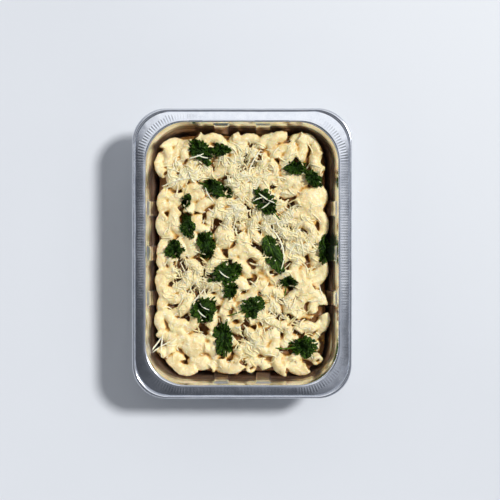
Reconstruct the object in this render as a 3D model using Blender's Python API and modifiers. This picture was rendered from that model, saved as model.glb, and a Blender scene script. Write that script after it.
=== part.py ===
"""A foil tray meal: macaroni in cheese sauce with grated cheese and wilted kale, in its pressed foil pan.

Metres, +Z up. The origin is the middle of the pan's base, X runs across the pan and Y along it.
"""

import math

import bmesh
import bpy
import numpy as np
from mathutils import Matrix, Vector
from mathutils.bvhtree import BVHTree

# The pan: overall sizes, then the rim that turns outwards from its mouth.
PAN_WIDTH = 0.171
PAN_LENGTH = 0.2255
PAN_HEIGHT = 0.045
RIM_WIDTH = 0.0108
RIM_RADIUS = 0.0264
MOUTH_RADIUS = 0.0318
FOIL = 0.0005
CORNER_STEPS = 5
MOUTH_X = PAN_WIDTH / 2 - RIM_WIDTH
MOUTH_Y = PAN_LENGTH / 2 - RIM_WIDTH

# The upright ribs pressed into the walls: three on each long side and two on each short side.
RIB_WIDTH = 0.0108
RIB_SLOPE = 0.0009
RIB_DEPTH = 0.0019
RIB_TOP_DEPTH = 0.0007
LONG_SIDE_RIBS = (-0.0352, 0.0, 0.0352)
SHORT_SIDE_RIBS = (-0.0163, 0.0163)

# The wall's step and its foot.
STEP_DROP = 0.0165
STEP_WIDTH = 0.0007
WALL_TOP_INSET = 0.0012
STEP_INSET = 0.0043
HEEL_INSET = 0.0110
HEEL_HEIGHT = 0.0040
HEEL_SLOPE = 0.0006
BASE_INSET = 0.0138
RIB_FOOT = 0.0068
RIB_TOP_DROP = 0.0044
WALL_TOP_DROP = 0.0040

# The pasta: bent tubes, laid one after the other on a map of heights with this cell.
CELL = 0.001
TUBE_RADIUS = (0.0041, 0.0048)
BEND_RADIUS = (0.0080, 0.0112)
BEND_SWEEP = (90, 200)
TUBE_RISE = (0.0, 0.0065)
SINK = 0.0022
WALL_GAP = 0.0011
WALL_ZONE = 0.0200
NESTLE_ROOM = 0.0060
NESTLE_DROP = 0.0090
HEAP_START = 0.0200
HEAP_TOP = 0.0375
HEAP_LUMP = 0.0016
HEAP_EDGE_DROP = 0.0050
HEAP_EDGE_REACH = 0.0110
UNDER_DROP = 0.0060
TUBES_UNDER = 150
TUBES_OVER = 330
PRESS = 0.0075
LEAST_GAIN = 0.0016
MOST_GAIN = 0.0060
TRIES = 12
MOVE_IN = 0.985
TIPPED_SHARE = 0.30
HEAP_SEED = 11
STATIONS = 11
TUBES_SHOWN = 46
TUBE_SIDES = 6
TUBE_STEPS = 5
MOUND_SIDES = 10
MOUND_STEPS = 7
SHOWN_DEPTH = 0.0006
HOLE_SHARE = 0.42
HOLE_DEPTH = 0.0022

# Gaps between the heap and the walls: x, y, reach across and reach along.
POCKET_DEPTH = 0.0120
POCKETS = (
    (-0.0570, 0.0930, 0.0100, 0.0060),
    (-0.0680, 0.0515, 0.0035, 0.0110),
    (-0.0690, 0.0230, 0.0035, 0.0120),
    (-0.0300, -0.0950, 0.0110, 0.0040),
    (0.0140, -0.0950, 0.0120, 0.0035),
    (-0.0670, -0.0700, 0.0040, 0.0070),
    (0.0690, 0.0760, 0.0070, 0.0180),
    (0.0700, 0.0180, 0.0045, 0.0150),
    (0.0700, -0.0230, 0.0070, 0.0110),
    (0.0700, -0.0560, 0.0045, 0.0160),
    (-0.0210, 0.0990, 0.0070, 0.0035),
    (0.0230, 0.0990, 0.0110, 0.0035),
)

# Mounds of sauce that hide the pasta: middle x, y and z, then how far they reach along x, y and z.
SAUCE_MOUNDS = (
    (0.0527, 0.0391, 0.0312, 0.0115, 0.0135, 0.0058),
    (-0.0543, -0.0800, 0.0275, 0.0065, 0.0100, 0.0055),
    (-0.0318, -0.0845, 0.0285, 0.0115, 0.0075, 0.0055),
    (-0.0370, -0.0720, 0.0300, 0.0120, 0.0100, 0.0060),
    (0.0360, -0.0860, 0.0285, 0.0120, 0.0065, 0.0050),
    (-0.0140, 0.0130, 0.0305, 0.0085, 0.0100, 0.0055),
)

# Tubes that lie on top in plain sight: x, y, heading, sweep, tip out of the level, all in metres and degrees.
TOP_TUBES = (
    (-0.0665, 0.0600, 5, 120, 15),
    (-0.0610, 0.0790, 150, 190, 20),
    (0.0165, 0.0800, 95, 205, 25),
    (0.0460, 0.0810, 0, 110, 30),
    (0.0600, 0.0745, 190, 120, 20),
    (0.0580, 0.0380, 40, 160, 15),
    (-0.0320, 0.0330, 60, 215, 20),
    (-0.0620, 0.0225, 200, 150, 25),
    (-0.0640, 0.0010, 170, 150, 30),
    (0.0230, -0.0180, 265, 170, 10),
    (0.0630, -0.0170, 330, 150, 20),
    (0.0480, -0.0480, 90, 110, 10),
    (0.0500, -0.0585, 90, 110, 10),
    (0.0380, -0.0600, 30, 140, 60),
    (0.0520, -0.0865, 100, 150, 50),
    (0.0300, -0.0880, 200, 130, 15),
    (-0.0260, -0.0860, 20, 140, 20),
    (-0.0500, -0.0700, 120, 160, 15),
    (-0.0590, -0.0840, 75, 120, 25),
    (-0.0030, -0.0870, 0, 120, 40),
)

# The sauce and the pasta under the top layer.
CORE_RINGS = 7
CORE_SINK = 0.0034
CORE_RANGE = 0.0030
CORE_LEVEL = 0.0296
CORE_GAP = 0.0006
CORE_HEEL = 0.0036
CORE_SHOULDER = 0.0190
CORE_EDGE = 0.0240
CORE_LONG_SHARE = 0.72

# Grated cheese: strips that follow the heap.
SHREDS = 24
SHRED_LENGTH = (0.008, 0.015)
SHRED_WIDTH = 0.0014
SHRED_THICKNESS = 0.0010
SHRED_CURL = 0.003
SHRED_FROM_MOUTH = 0.022
SHRED_FROM_KALE = 0.001
SHRED_SEED = 5

# Kale: x, y, length, width, heading of each piece, in metres and degrees.
KALE = (
    (-0.0325, 0.0797, 0.0215, 0.0145, -48),
    (-0.0168, 0.0812, 0.0150, 0.0095, 8),
    (-0.0203, 0.0510, 0.0225, 0.0120, -25),
    (0.0418, 0.0675, 0.0165, 0.0110, 14),
    (0.0553, 0.0585, 0.0180, 0.0100, -50),
    (0.0177, 0.0410, 0.0205, 0.0140, -52),
    (-0.0437, 0.0410, 0.0105, 0.0070, 72),
    (-0.0421, 0.0215, 0.0165, 0.0115, -72),
    (-0.0281, 0.0066, 0.0240, 0.0120, -84),
    (-0.0530, 0.0027, 0.0145, 0.0130, 20),
    (-0.0128, -0.0150, 0.0240, 0.0160, 22),
    (-0.0090, -0.0292, 0.0125, 0.0100, 60),
    (-0.0296, -0.0432, 0.0200, 0.0180, 40),
    (0.0080, -0.0417, 0.0170, 0.0150, 30),
    (-0.0140, -0.0658, 0.0255, 0.0150, 88),
    (0.0242, -0.0006, 0.0280, 0.0145, -68),
    (0.0630, 0.0030, 0.0190, 0.0080, 85),
    (0.0366, -0.0226, 0.0125, 0.0085, -12),
    (0.0485, -0.0735, 0.0200, 0.0150, -8),
)
LEAF_THICKNESS = 0.0006
LEAF_GAP = 0.0004
LEAF_SPOKES = 10
LEAF_RINGS = (0.45, 1.0)
LEAF_LOBES = (0.78, 1.08)
LEAF_RUFFLE = 0.0008
LEAF_DIP = 0.0025
DRAPE_PASSES = 16
DRAPE_CUTS = 8
DRAPE_REACH = 0.0005
LEAF_SEED = 3

FOIL_COLOUR = (0.78, 0.79, 0.82, 1.0)
PASTA_COLOUR = (0.88, 0.76, 0.50, 1.0)
KALE_COLOUR = (0.02, 0.10, 0.03, 1.0)


def clear_scene():
    for obj in list(bpy.data.objects):
        bpy.data.objects.remove(obj)


def make_material(name, colour, roughness, metallic):
    material = bpy.data.materials.new(name)
    material.use_nodes = True
    shader = material.node_tree.nodes["Principled BSDF"]
    shader.inputs["Base Color"].default_value = colour
    shader.inputs["Roughness"].default_value = roughness
    shader.inputs["Metallic"].default_value = metallic
    material.diffuse_color = colour
    return material


def object_from(bm, name, collection, material=None):
    mesh = bpy.data.meshes.new(name)
    bm.to_mesh(mesh)
    bm.free()
    obj = bpy.data.objects.new(name, mesh)
    collection.objects.link(obj)
    if material:
        mesh.materials.append(material)
    return obj


# The rounded oblong that every level of the pan follows.


def mouth_outline(outset, rib=0.0):
    """Points around the pan, anticlockwise, at this distance out from its mouth, with the ribs this deep."""
    share = min(max(outset / RIM_WIDTH, 0.0), 1.0)
    radius = MOUTH_RADIUS + (RIM_RADIUS - MOUTH_RADIUS) * share + min(outset, 0.0)
    half_x = MOUTH_X + outset
    half_y = MOUTH_Y + outset
    points = []
    sides = (
        (Vector((1, 0)), Vector((0, 1)), half_x, half_y, LONG_SIDE_RIBS),
        (Vector((0, 1)), Vector((-1, 0)), half_y, half_x, SHORT_SIDE_RIBS),
        (Vector((-1, 0)), Vector((0, -1)), half_x, half_y, LONG_SIDE_RIBS),
        (Vector((0, -1)), Vector((1, 0)), half_y, half_x, SHORT_SIDE_RIBS),
    )
    for out, along, reach, half_side, ribs in sides:
        for place in ribs:
            edge = RIB_WIDTH / 2
            for step, depth in ((-edge - RIB_SLOPE, 0), (-edge, rib), (edge, rib), (edge + RIB_SLOPE, 0)):
                points.append(out * (reach - depth) + along * (place + step))
        centre = out * (reach - radius) + along * (half_side - radius)
        for i in range(CORNER_STEPS + 1):
            turn = math.radians(90 * i / CORNER_STEPS)
            points.append(centre + out * radius * math.cos(turn) + along * radius * math.sin(turn))
    return points


def loft(bm, rings):
    """Faces between rings of like-numbered points. Gives the rings of vertices."""
    made = [[bm.verts.new(p) for p in ring] for ring in rings]
    for low, high in zip(made, made[1:]):
        for i in range(len(low)):
            j = (i + 1) % len(low)
            bm.faces.new((low[i], low[j], high[j], high[i]))
    return made


def ring_at(outset, z, rib=0.0):
    return [Vector((p.x, p.y, z)) for p in mouth_outline(outset, rib)]


# The pan.


def pan_levels():
    """The skin that faces up and in, from the base out to the end of the curl."""
    top = PAN_HEIGHT
    return (
        (-BASE_INSET, FOIL, 0),
        (-HEEL_INSET, HEEL_HEIGHT, 0),
        (-HEEL_INSET + HEEL_SLOPE, RIB_FOOT, RIB_DEPTH),
        (-STEP_INSET - STEP_WIDTH, top - STEP_DROP - STEP_WIDTH, RIB_DEPTH),
        (-STEP_INSET, top - STEP_DROP, RIB_DEPTH),
        (-WALL_TOP_INSET, top - RIB_TOP_DROP, RIB_TOP_DEPTH),
        (-WALL_TOP_INSET + 0.0002, top - WALL_TOP_DROP, 0),
        (-0.0002, top - 0.0020, 0),
        (0.0010, top - 0.0009, 0),
        (0.0080, top - 0.0018, 0),
        (0.0087, top - 0.0004, 0),
        (0.0097, top, 0),
        (RIM_WIDTH, top - 0.0013, 0),
        (0.0103, top - 0.0024, 0),
    )


def build_pan(collection, material):
    bm = bmesh.new()
    made = loft(bm, [ring_at(*level) for level in pan_levels()])
    bm.faces.new(made[0])
    bmesh.ops.recalc_face_normals(bm, faces=bm.faces[:])
    pan = object_from(bm, "foil_tray", collection, material)
    shell = pan.modifiers.new("foil", "SOLIDIFY")
    shell.thickness = FOIL
    shell.offset = -1.0
    shell.use_even_offset = True
    pan.data.update()
    up = sum(f.normal.z * f.area for f in pan.data.polygons)
    if up < 0:
        pan.data.flip_normals()
    pan.data.shade_smooth()
    pan.data.set_sharp_from_angle(angle=math.radians(35))
    return pan


def wall_inset(z):
    """How far the wall at this height stands in from the mouth."""
    levels = [(z_, -outset) for outset, z_, _ in pan_levels()[:8]]
    return float(np.interp(z, [l[0] for l in levels], [l[1] for l in levels]))


def outside_wall(x, y, z):
    """Distance beyond the wall at this height: negative inside the pan. Works on arrays."""
    inset = np.interp(z, WALL_Z, WALL_INSET)
    half_x = MOUTH_X - inset
    half_y = MOUTH_Y - inset
    radius = MOUTH_RADIUS - inset
    dx = np.abs(x) - half_x + radius
    dy = np.abs(y) - half_y + radius
    corner = np.hypot(np.maximum(dx, 0), np.maximum(dy, 0))
    return corner + np.minimum(np.maximum(dx, dy), 0) - radius


WALL_Z = [z for _, z, _ in pan_levels()[:8]]
WALL_INSET = [-outset for outset, _, _ in pan_levels()[:8]]


# Where each pasta tube lies.


class HeightMap:
    """The top of the heap, cell by cell, while tubes are laid on it."""

    def __init__(self):
        self.nx = int(2 * MOUTH_X / CELL) + 9
        self.ny = int(2 * MOUTH_Y / CELL) + 9
        self.x0 = -(self.nx - 1) / 2 * CELL
        self.y0 = -(self.ny - 1) / 2 * CELL
        i, j = np.meshgrid(np.arange(self.nx), np.arange(self.ny), indexing="ij")
        self.x = self.x0 + i * CELL
        self.y = self.y0 + j * CELL
        self.limit = heap_limit(self.x, self.y)
        self.inside = outside_wall(self.x, self.y, HEAP_TOP) < -0.006
        self.z = HEAP_START - HEAP_TOP + self.limit
        reach = int(TUBE_RADIUS[1] / CELL) + 1
        offsets = np.arange(-reach, reach + 1)
        self.di, self.dj = (a.ravel() for a in np.meshgrid(offsets, offsets, indexing="ij"))

    def low_place(self, draw, drop):
        """A place picked where the heap is still well under its limit."""
        room = np.where(self.inside, np.maximum(self.limit - drop - self.z, 0) ** 2, 0).ravel()
        total = np.cumsum(room)
        cell = min(int(np.searchsorted(total, draw.uniform() * total[-1])), len(total) - 1)
        i, j = divmod(cell, self.ny)
        return self.x0 + i * CELL, self.y0 + j * CELL

    def cells(self, points):
        i = np.rint((points[:, 0] - self.x0) / CELL).astype(int)
        j = np.rint((points[:, 1] - self.y0) / CELL).astype(int)
        i = np.clip(i[:, None] + self.di, 0, self.nx - 1)
        j = np.clip(j[:, None] + self.dj, 0, self.ny - 1)
        away = np.hypot(self.di, self.dj) * CELL
        return i, j, away

    def rest_height(self, points, radius):
        """How high this line of balls has to be lifted to rest on the map."""
        i, j, away = self.cells(points)
        under = away < radius
        drop = np.sqrt(radius**2 - away[under] ** 2)
        need = self.z[i[:, under], j[:, under]] + drop - points[:, 2:3]
        return need.max()

    def lay_mound(self, x, y, z, reach_x, reach_y, reach_z):
        away = ((self.x - x) / reach_x) ** 2 + ((self.y - y) / reach_y) ** 2
        top = z + reach_z * np.sqrt(np.maximum(1 - away, 0))
        self.z = np.where(away < 1, np.maximum(self.z, top), self.z)

    def gain(self, points, radius):
        """How far this line of balls would raise the map along its back."""
        i, j, away = self.cells(points)
        back = away < radius / 2
        rise = points[:, 2:3] + radius - self.z[i[:, back], j[:, back]]
        return np.clip(rise, 0, MOST_GAIN).mean()

    def lay(self, points, radius):
        i, j, away = self.cells(points)
        under = away < radius
        rise = np.sqrt(radius**2 - away[under] ** 2)
        np.maximum.at(self.z, (i[:, under], j[:, under]), points[:, 2:3] + rise)

    def at(self, x, y):
        i = int(np.clip(round(float((x - self.x0) / CELL)), 0, self.nx - 1))
        j = int(np.clip(round(float((y - self.y0) / CELL)), 0, self.ny - 1))
        return float(self.z[i, j])


def centreline(tube, stations):
    """Points along a bent tube about its own middle, before it is turned and placed."""
    share = np.linspace(0, 1, stations)
    angle = np.radians(tube["sweep"]) * (share - 0.5)
    bend = tube["bend"]
    points = np.stack([bend * np.cos(angle), bend * np.sin(angle), tube["rise"] * (share - 0.5)], 1)
    return points - np.array([tube["middle"], 0, 0])


def new_tube(draw, x, y, heading, sweep, tip):
    bend = draw.uniform(*BEND_RADIUS)
    half = math.radians(sweep) / 2
    turn = Matrix.Rotation(math.radians(heading), 3, "Z") @ Matrix.Rotation(math.radians(tip), 3, "Y")
    return {
        "x": x,
        "y": y,
        "bend": bend,
        "sweep": sweep,
        "rise": draw.uniform(*TUBE_RISE),
        "radius": draw.uniform(*TUBE_RADIUS),
        "middle": bend * math.sin(half) / half,
        "turn": turn,
    }


def random_tube(draw, x, y):
    heading = draw.uniform(0, 360)
    sweep = draw.uniform(*BEND_SWEEP)
    tipped = draw.uniform() < TIPPED_SHARE
    tip = draw.uniform(-75, 75) if tipped else draw.normal(0, 18)
    return new_tube(draw, x, y, heading, sweep, tip)


def drop_tube(heap, tube, lid=PAN_HEIGHT):
    """Lets a tube down on the heap, under the lid. Gives its line, or None where it would cross the wall."""
    line = centreline(tube, STATIONS) @ np.array(tube["turn"]).T
    line = line + np.array([tube["x"], tube["y"], 0])
    line = nestle(line, tube["radius"])
    line[:, 2] += heap.rest_height(line, tube["radius"]) - SINK
    line[:, 2] -= max((line[:, 2] + tube["radius"]).max() - lid, 0)
    return None if crosses_wall(line, tube["radius"]) else line


def wall_margin(x, y, z, radius):
    """How far a line of balls reaches past the clear space inside the wall and its ribs."""
    by_long = np.abs(y[:, None] - LONG_SIDE_RIBS).min(1) < RIB_WIDTH / 2 + radius
    by_short = np.abs(x[:, None] - SHORT_SIDE_RIBS).min(1) < RIB_WIDTH / 2 + radius
    on_rib = (by_long & (np.abs(x) > MOUTH_X - WALL_ZONE)) | (by_short & (np.abs(y) > MOUTH_Y - WALL_ZONE))
    return (outside_wall(x, y, z) + radius + WALL_GAP + RIB_DEPTH * on_rib).max()


def crosses_wall(line, radius):
    return wall_margin(*line.T, radius) > 0


def nestle(line, radius):
    """Pushes a tube that is near the wall up against it."""
    middle = line.mean(0)
    room = -wall_margin(line[:, 0], line[:, 1], HEAP_TOP - NESTLE_DROP, radius)
    if 0 < room < NESTLE_ROOM:
        axis = 0 if MOUTH_X - abs(middle[0]) < MOUTH_Y - abs(middle[1]) else 1
        line[:, axis] += math.copysign(room, middle[axis])
    return line


def heap_limit(x, y):
    """The highest that the heap stands here: lower near the walls."""
    inside = -outside_wall(x, y, HEAP_TOP)
    share = np.clip(inside / HEAP_EDGE_REACH, 0, 1)
    lumps = np.sin(x / 0.0071 + 1.3) * np.sin(y / 0.0083 + 0.4) + np.sin(x / 0.013 - y / 0.011)
    limit = HEAP_TOP - HEAP_LUMP * (1 - lumps / 2) - HEAP_EDGE_DROP * (1 - share * share * (3 - 2 * share))
    for pocket_x, pocket_y, reach_x, reach_y in POCKETS:
        away = ((x - pocket_x) / reach_x) ** 2 + ((y - pocket_y) / reach_y) ** 2
        limit = limit - POCKET_DEPTH * np.exp(-away)
    return limit


def fill_up(draw, heap, count, drop):
    """Presses random tubes into the low places, each the one of a few tries that fills most."""
    laid = []
    for _ in range(count):
        best = None
        for _ in range(TRIES):
            tube = random_tube(draw, *heap.low_place(draw, drop))
            line = drop_tube(heap, tube)
            if line is None:
                continue
            over = (line[:, 2] + tube["radius"] - heap_limit(line[:, 0], line[:, 1])).max() + drop
            line[:, 2] -= max(over, 0)
            if over > PRESS or crosses_wall(line, tube["radius"]):
                continue
            gain = heap.gain(line, tube["radius"])
            if gain > LEAST_GAIN and (best is None or gain > best[0]):
                best = (gain, tube, line)
        if best:
            laid.append(settle(heap, best[1], best[2]))
    return laid


def lay_top_tubes(draw, heap):
    """The tubes in plain sight, each moved inwards until it clears the wall."""
    laid = []
    for x, y, heading, sweep, tip in TOP_TUBES:
        tube = new_tube(draw, x, y, heading, sweep, tip)
        line = None
        for _ in range(TRIES):
            line = drop_tube(heap, tube, HEAP_TOP)
            if line is not None:
                laid.append(settle(heap, tube, line))
                break
            tube["x"] *= MOVE_IN
            tube["y"] *= MOVE_IN
    return laid


def lay_tubes():
    """Every tube with its place, and the height map that they make."""
    draw = np.random.RandomState(HEAP_SEED)
    heap = HeightMap()
    laid = fill_up(draw, heap, TUBES_UNDER, UNDER_DROP)
    for mound in SAUCE_MOUNDS:
        heap.lay_mound(*mound)
    laid += lay_top_tubes(draw, heap)
    laid += fill_up(draw, heap, TUBES_OVER, 0.0)
    return laid, heap


def settle(heap, tube, line):
    heap.lay(line, tube["radius"])
    tube["line"] = line
    tube["place"] = line.mean(0) - (centreline(tube, STATIONS) @ np.array(tube["turn"]).T).mean(0)
    return tube


def show_share(heap, tube):
    """How much of a tube's back is the top of the heap."""
    line = tube["line"]
    tops = np.array([heap.at(x, y) for x, y, _ in line])
    return float((tops < line[:, 2] + tube["radius"] + SHOWN_DEPTH).mean())


# The heap's solid.


def tube_mesh(tube):
    """A closed bent tube with a hollow in each end, in its place."""
    radius = tube["radius"]
    sweep = math.radians(tube["sweep"])
    bm = bmesh.new()
    start = (
        Matrix.Rotation(-sweep / 2, 4, "Z")
        @ Matrix.Translation((tube["bend"], 0, -tube["rise"] / 2))
        @ Matrix.Rotation(math.pi / 2, 4, "X")
    )
    bmesh.ops.create_circle(bm, cap_ends=False, segments=TUBE_SIDES, radius=radius, matrix=start)
    bmesh.ops.spin(
        bm,
        geom=bm.verts[:] + bm.edges[:],
        cent=(0, 0, 0),
        axis=(0, 0, 1),
        dvec=(0, 0, tube["rise"] / TUBE_STEPS),
        angle=sweep,
        steps=TUBE_STEPS,
        use_merge=False,
        use_duplicate=False,
    )
    bmesh.ops.remove_doubles(bm, verts=bm.verts[:], dist=0.00001)
    rims = [e for e in bm.edges if e.is_boundary]
    caps = bmesh.ops.holes_fill(bm, edges=rims, sides=TUBE_SIDES)["faces"]
    bmesh.ops.recalc_face_normals(bm, faces=bm.faces[:])
    bmesh.ops.inset_individual(bm, faces=caps, thickness=radius * (1 - HOLE_SHARE) * 0.86)
    for cap in caps:
        inward = cap.normal * -HOLE_DEPTH
        hollow = bmesh.ops.extrude_discrete_faces(bm, faces=[cap])["faces"][0]
        bmesh.ops.translate(bm, verts=hollow.verts[:], vec=inward)
    shift = Matrix.Translation((-tube["middle"], 0, 0))
    place = Matrix.Translation(Vector(tube["place"])) @ tube["turn"].to_4x4()
    bmesh.ops.transform(bm, matrix=place @ shift, verts=bm.verts[:])
    return bm


def mound_mesh(x, y, z, reach_x, reach_y, reach_z):
    bm = bmesh.new()
    place = Matrix.Translation((x, y, z)) @ Matrix.Diagonal((reach_x, reach_y, reach_z, 1.0))
    bmesh.ops.create_uvsphere(bm, u_segments=MOUND_SIDES, v_segments=MOUND_STEPS, radius=1.0, matrix=place)
    return bm


def core_height(heap, x, y):
    """The sauce's level: a little under the tubes around it."""
    reach = 4
    i = int(round((x - heap.x0) / CELL))
    j = int(round((y - heap.y0) / CELL))
    near = heap.z[max(i - reach, 0) : i + reach + 1, max(j - reach, 0) : j + reach + 1]
    level = CORE_LEVEL - HEAP_TOP + float(heap_limit(x, y))
    return min(max(float(near.mean()) - CORE_SINK, level - CORE_RANGE), level + CORE_RANGE)


def build_core(heap, collection, material):
    """What lies under the top tubes: it fills the pan's foot and ends in an uneven top."""
    rings = []
    for z in (FOIL + CORE_GAP, CORE_HEEL, CORE_SHOULDER):
        inset = wall_inset(z) + CORE_GAP + (RIB_DEPTH + CORE_GAP if z >= CORE_HEEL else 0)
        rings.append(ring_at(-inset, z))
    edge = wall_inset(CORE_EDGE) + RIB_DEPTH + 2 * CORE_GAP
    outer = mouth_outline(-edge)
    for k in range(CORE_RINGS):
        share = 1 - k / CORE_RINGS
        points = []
        for p in outer:
            x = p.x * share
            y = p.y * (1 - (1 - share) * CORE_LONG_SHARE)
            points.append(Vector((x, y, core_height(heap, x * 0.95, y * 0.95))))
        rings.append(points)
    bm = bmesh.new()
    made = loft(bm, rings)
    bm.faces.new(made[0])
    bm.faces.new(made[-1])
    bmesh.ops.triangulate(bm, faces=bm.faces[:])
    bmesh.ops.recalc_face_normals(bm, faces=bm.faces[:])
    return object_from(bm, "macaroni", collection, material)


def shred_mesh(surface, x, y, length, heading, curl):
    """A strip of cheese, half sunk in what it lies on."""
    bm = bmesh.new()
    bmesh.ops.create_cube(bm, size=1.0)
    middle = [e for e in bm.edges if abs(e.verts[0].co.x - e.verts[1].co.x) > 0.5]
    bmesh.ops.subdivide_edges(bm, edges=middle, cuts=2, use_grid_fill=True)
    turn = Matrix.Rotation(math.radians(heading), 3, "Z")
    for vert in bm.verts:
        along = vert.co.x * length
        side = vert.co.y * SHRED_WIDTH + curl * (vert.co.x**2 - 0.25)
        place = turn @ Vector((along, side, 0))
        middle_line = turn @ Vector((along, curl * (vert.co.x**2 - 0.25), 0))
        level = surface(x + middle_line.x, y + middle_line.y)
        vert.co = Vector((x + place.x, y + place.y, level + vert.co.z * SHRED_THICKNESS))
    bmesh.ops.triangulate(bm, faces=bm.faces[:])
    bmesh.ops.recalc_face_normals(bm, faces=bm.faces[:])
    return bm


def near_kale(x, y, margin):
    for kx, ky, length, width, _ in KALE:
        if math.hypot(x - kx, y - ky) < max(length, width) / 2 + margin:
            return True
    return False


def join_to(core, pieces):
    """One Boolean union of the core and a collection of closed pieces, applied."""
    union = core.modifiers.new("union", "BOOLEAN")
    union.operation = "UNION"
    union.operand_type = "COLLECTION"
    union.collection = pieces
    union.solver = "MANIFOLD"
    bpy.context.view_layer.update()
    graph = bpy.context.evaluated_depsgraph_get()
    joined = bpy.data.meshes.new_from_object(core.evaluated_get(graph))
    core.modifiers.clear()
    core.data = joined
    for obj in list(pieces.objects):
        bpy.data.objects.remove(obj)
    bpy.data.collections.remove(pieces)
    keep_outer_skin(core)


def keep_outer_skin(obj):
    """Drops the skins of sealed hollows and loose scraps, so that one closed body is left."""
    bm = bmesh.new()
    bm.from_mesh(obj.data)
    bmesh.ops.triangulate(bm, faces=bm.faces[:])
    left = set(bm.faces)
    skins = []
    while left:
        skin = set()
        edge = [left.pop()]
        while edge:
            face = edge.pop()
            skin.add(face)
            for e in face.edges:
                for other in e.link_faces:
                    if other in left:
                        left.remove(other)
                        edge.append(other)
        skins.append(skin)
    skins.sort(key=len)
    small = [f for skin in skins[:-1] for f in skin]
    bmesh.ops.delete(bm, geom=small, context="FACES")
    bm.to_mesh(obj.data)
    bm.free()


def surface_of(obj):
    """A function that gives the height of the object's top over a point."""
    graph = bpy.context.evaluated_depsgraph_get()
    tree = BVHTree.FromObject(obj, graph)

    def height(x, y):
        hit = tree.ray_cast(Vector((x, y, 0.1)), Vector((0, 0, -1)))[0]
        return hit.z if hit else HEAP_START

    return height


def build_heap(collection, material):
    laid, heap = lay_tubes()
    core = build_core(heap, collection, material)
    tubes = bpy.data.collections.new("tubes")
    bpy.context.scene.collection.children.link(tubes)
    laid.sort(key=lambda tube: (show_share(heap, tube), tube["line"][:, 2].mean()), reverse=True)
    for i, tube in enumerate(laid[:TUBES_SHOWN]):
        object_from(tube_mesh(tube), f"tube_{i:02d}", tubes)
    for i, mound in enumerate(SAUCE_MOUNDS):
        object_from(mound_mesh(*mound), f"mound_{i}", tubes)
    join_to(core, tubes)
    add_shreds(core)
    return core


def add_shreds(core):
    surface = surface_of(core)
    draw = np.random.RandomState(SHRED_SEED)
    strips = bpy.data.collections.new("strips")
    bpy.context.scene.collection.children.link(strips)
    made = 0
    while made < SHREDS:
        x = draw.uniform(-1, 1) * (MOUTH_X - SHRED_FROM_MOUTH)
        y = draw.uniform(-1, 1) * (MOUTH_Y - SHRED_FROM_MOUTH)
        length = draw.uniform(*SHRED_LENGTH)
        heading = draw.uniform(0, 180)
        curl = draw.uniform(-SHRED_CURL, SHRED_CURL)
        if near_kale(x, y, length / 2 + SHRED_FROM_KALE):
            continue
        strip = shred_mesh(surface, x, y, length, heading, curl)
        object_from(strip, f"strip_{made:02d}", strips)
        made += 1
    join_to(core, strips)


# The kale.


def leaf_mesh(surface, draw, x, y, length, width, heading):
    """A thin ruffled leaf that drapes over the heap, a gap clear of it."""
    bm = bmesh.new()
    turn = Matrix.Rotation(math.radians(heading), 3, "Z")
    lobes = [draw.uniform(*LEAF_LOBES) for _ in range(LEAF_SPOKES)]
    rings = []
    for share in LEAF_RINGS:
        ring = []
        for i in range(LEAF_SPOKES):
            angle = 2 * math.pi * i / LEAF_SPOKES
            lobe = 1 + (lobes[i] - 1) * share
            flat = Vector((length / 2 * math.cos(angle), width / 2 * math.sin(angle), 0)) * share * lobe
            place = turn @ flat
            ring.append(Vector((x + place.x, y + place.y, 0)))
        rings.append(ring)
    made = loft(bm, rings)
    hub = bm.verts.new((x, y, 0))
    for i in range(LEAF_SPOKES):
        bm.faces.new((hub, made[0][i], made[0][(i + 1) % LEAF_SPOKES]))
    bmesh.ops.triangulate(bm, faces=bm.faces[:])
    drape(bm, surface)
    for i, vert in enumerate(made[-1]):
        vert.co.z += LEAF_RUFFLE * (i % 2)
    bmesh.ops.recalc_face_normals(bm, faces=bm.faces[:])
    if sum(f.normal.z for f in bm.faces) < 0:
        bmesh.ops.reverse_faces(bm, faces=bm.faces[:])
    under = bm.faces[:]
    upper = bmesh.ops.extrude_face_region(bm, geom=under)["geom"]
    lifted = [v for v in upper if isinstance(v, bmesh.types.BMVert)]
    bmesh.ops.translate(bm, verts=lifted, vec=(0, 0, LEAF_THICKNESS))
    bmesh.ops.recalc_face_normals(bm, faces=bm.faces[:])
    return bm


def drape(bm, surface):
    """Lets a sheet down from above, corner by corner, until it lies on what is under it."""
    steps = range(DRAPE_CUTS + 1)
    cuts = [(i / DRAPE_CUTS, j / DRAPE_CUTS) for i in steps for j in steps if i + j <= DRAPE_CUTS]
    floors = {}
    for face in bm.faces:
        a, b, c = face.verts
        floors[face] = []
        for u, v in cuts:
            point = a.co * (1 - u - v) + b.co * u + c.co * v
            floors[face].append(({a: 1 - u - v, b: u, c: v}, highest_near(surface, point) + LEAF_GAP))
    for vert in bm.verts:
        vert.co.z = PAN_HEIGHT
    for _ in range(DRAPE_PASSES):
        for vert in bm.verts:
            beside = [e.other_vert(vert).co.z for e in vert.link_edges]
            room = vert.co.z - sum(beside) / len(beside) + LEAF_DIP
            for face in vert.link_faces:
                for shares, floor in floors[face]:
                    level = sum(v.co.z * share for v, share in shares.items())
                    if shares[vert] > 0:
                        room = min(room, (level - floor) / shares[vert])
            vert.co.z -= max(room, 0) / 2


def highest_near(surface, point):
    offsets = ((0, 0), (DRAPE_REACH, 0), (-DRAPE_REACH, 0), (0, DRAPE_REACH), (0, -DRAPE_REACH))
    return max(surface(point.x + dx, point.y + dy) for dx, dy in offsets)


def build_kale(surface, collection, material):
    draw = np.random.RandomState(LEAF_SEED)
    for i, (x, y, length, width, heading) in enumerate(KALE):
        leaf = leaf_mesh(surface, draw, x, y, length, width, heading)
        object_from(leaf, f"kale_{i + 1:02d}", collection, material)


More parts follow.
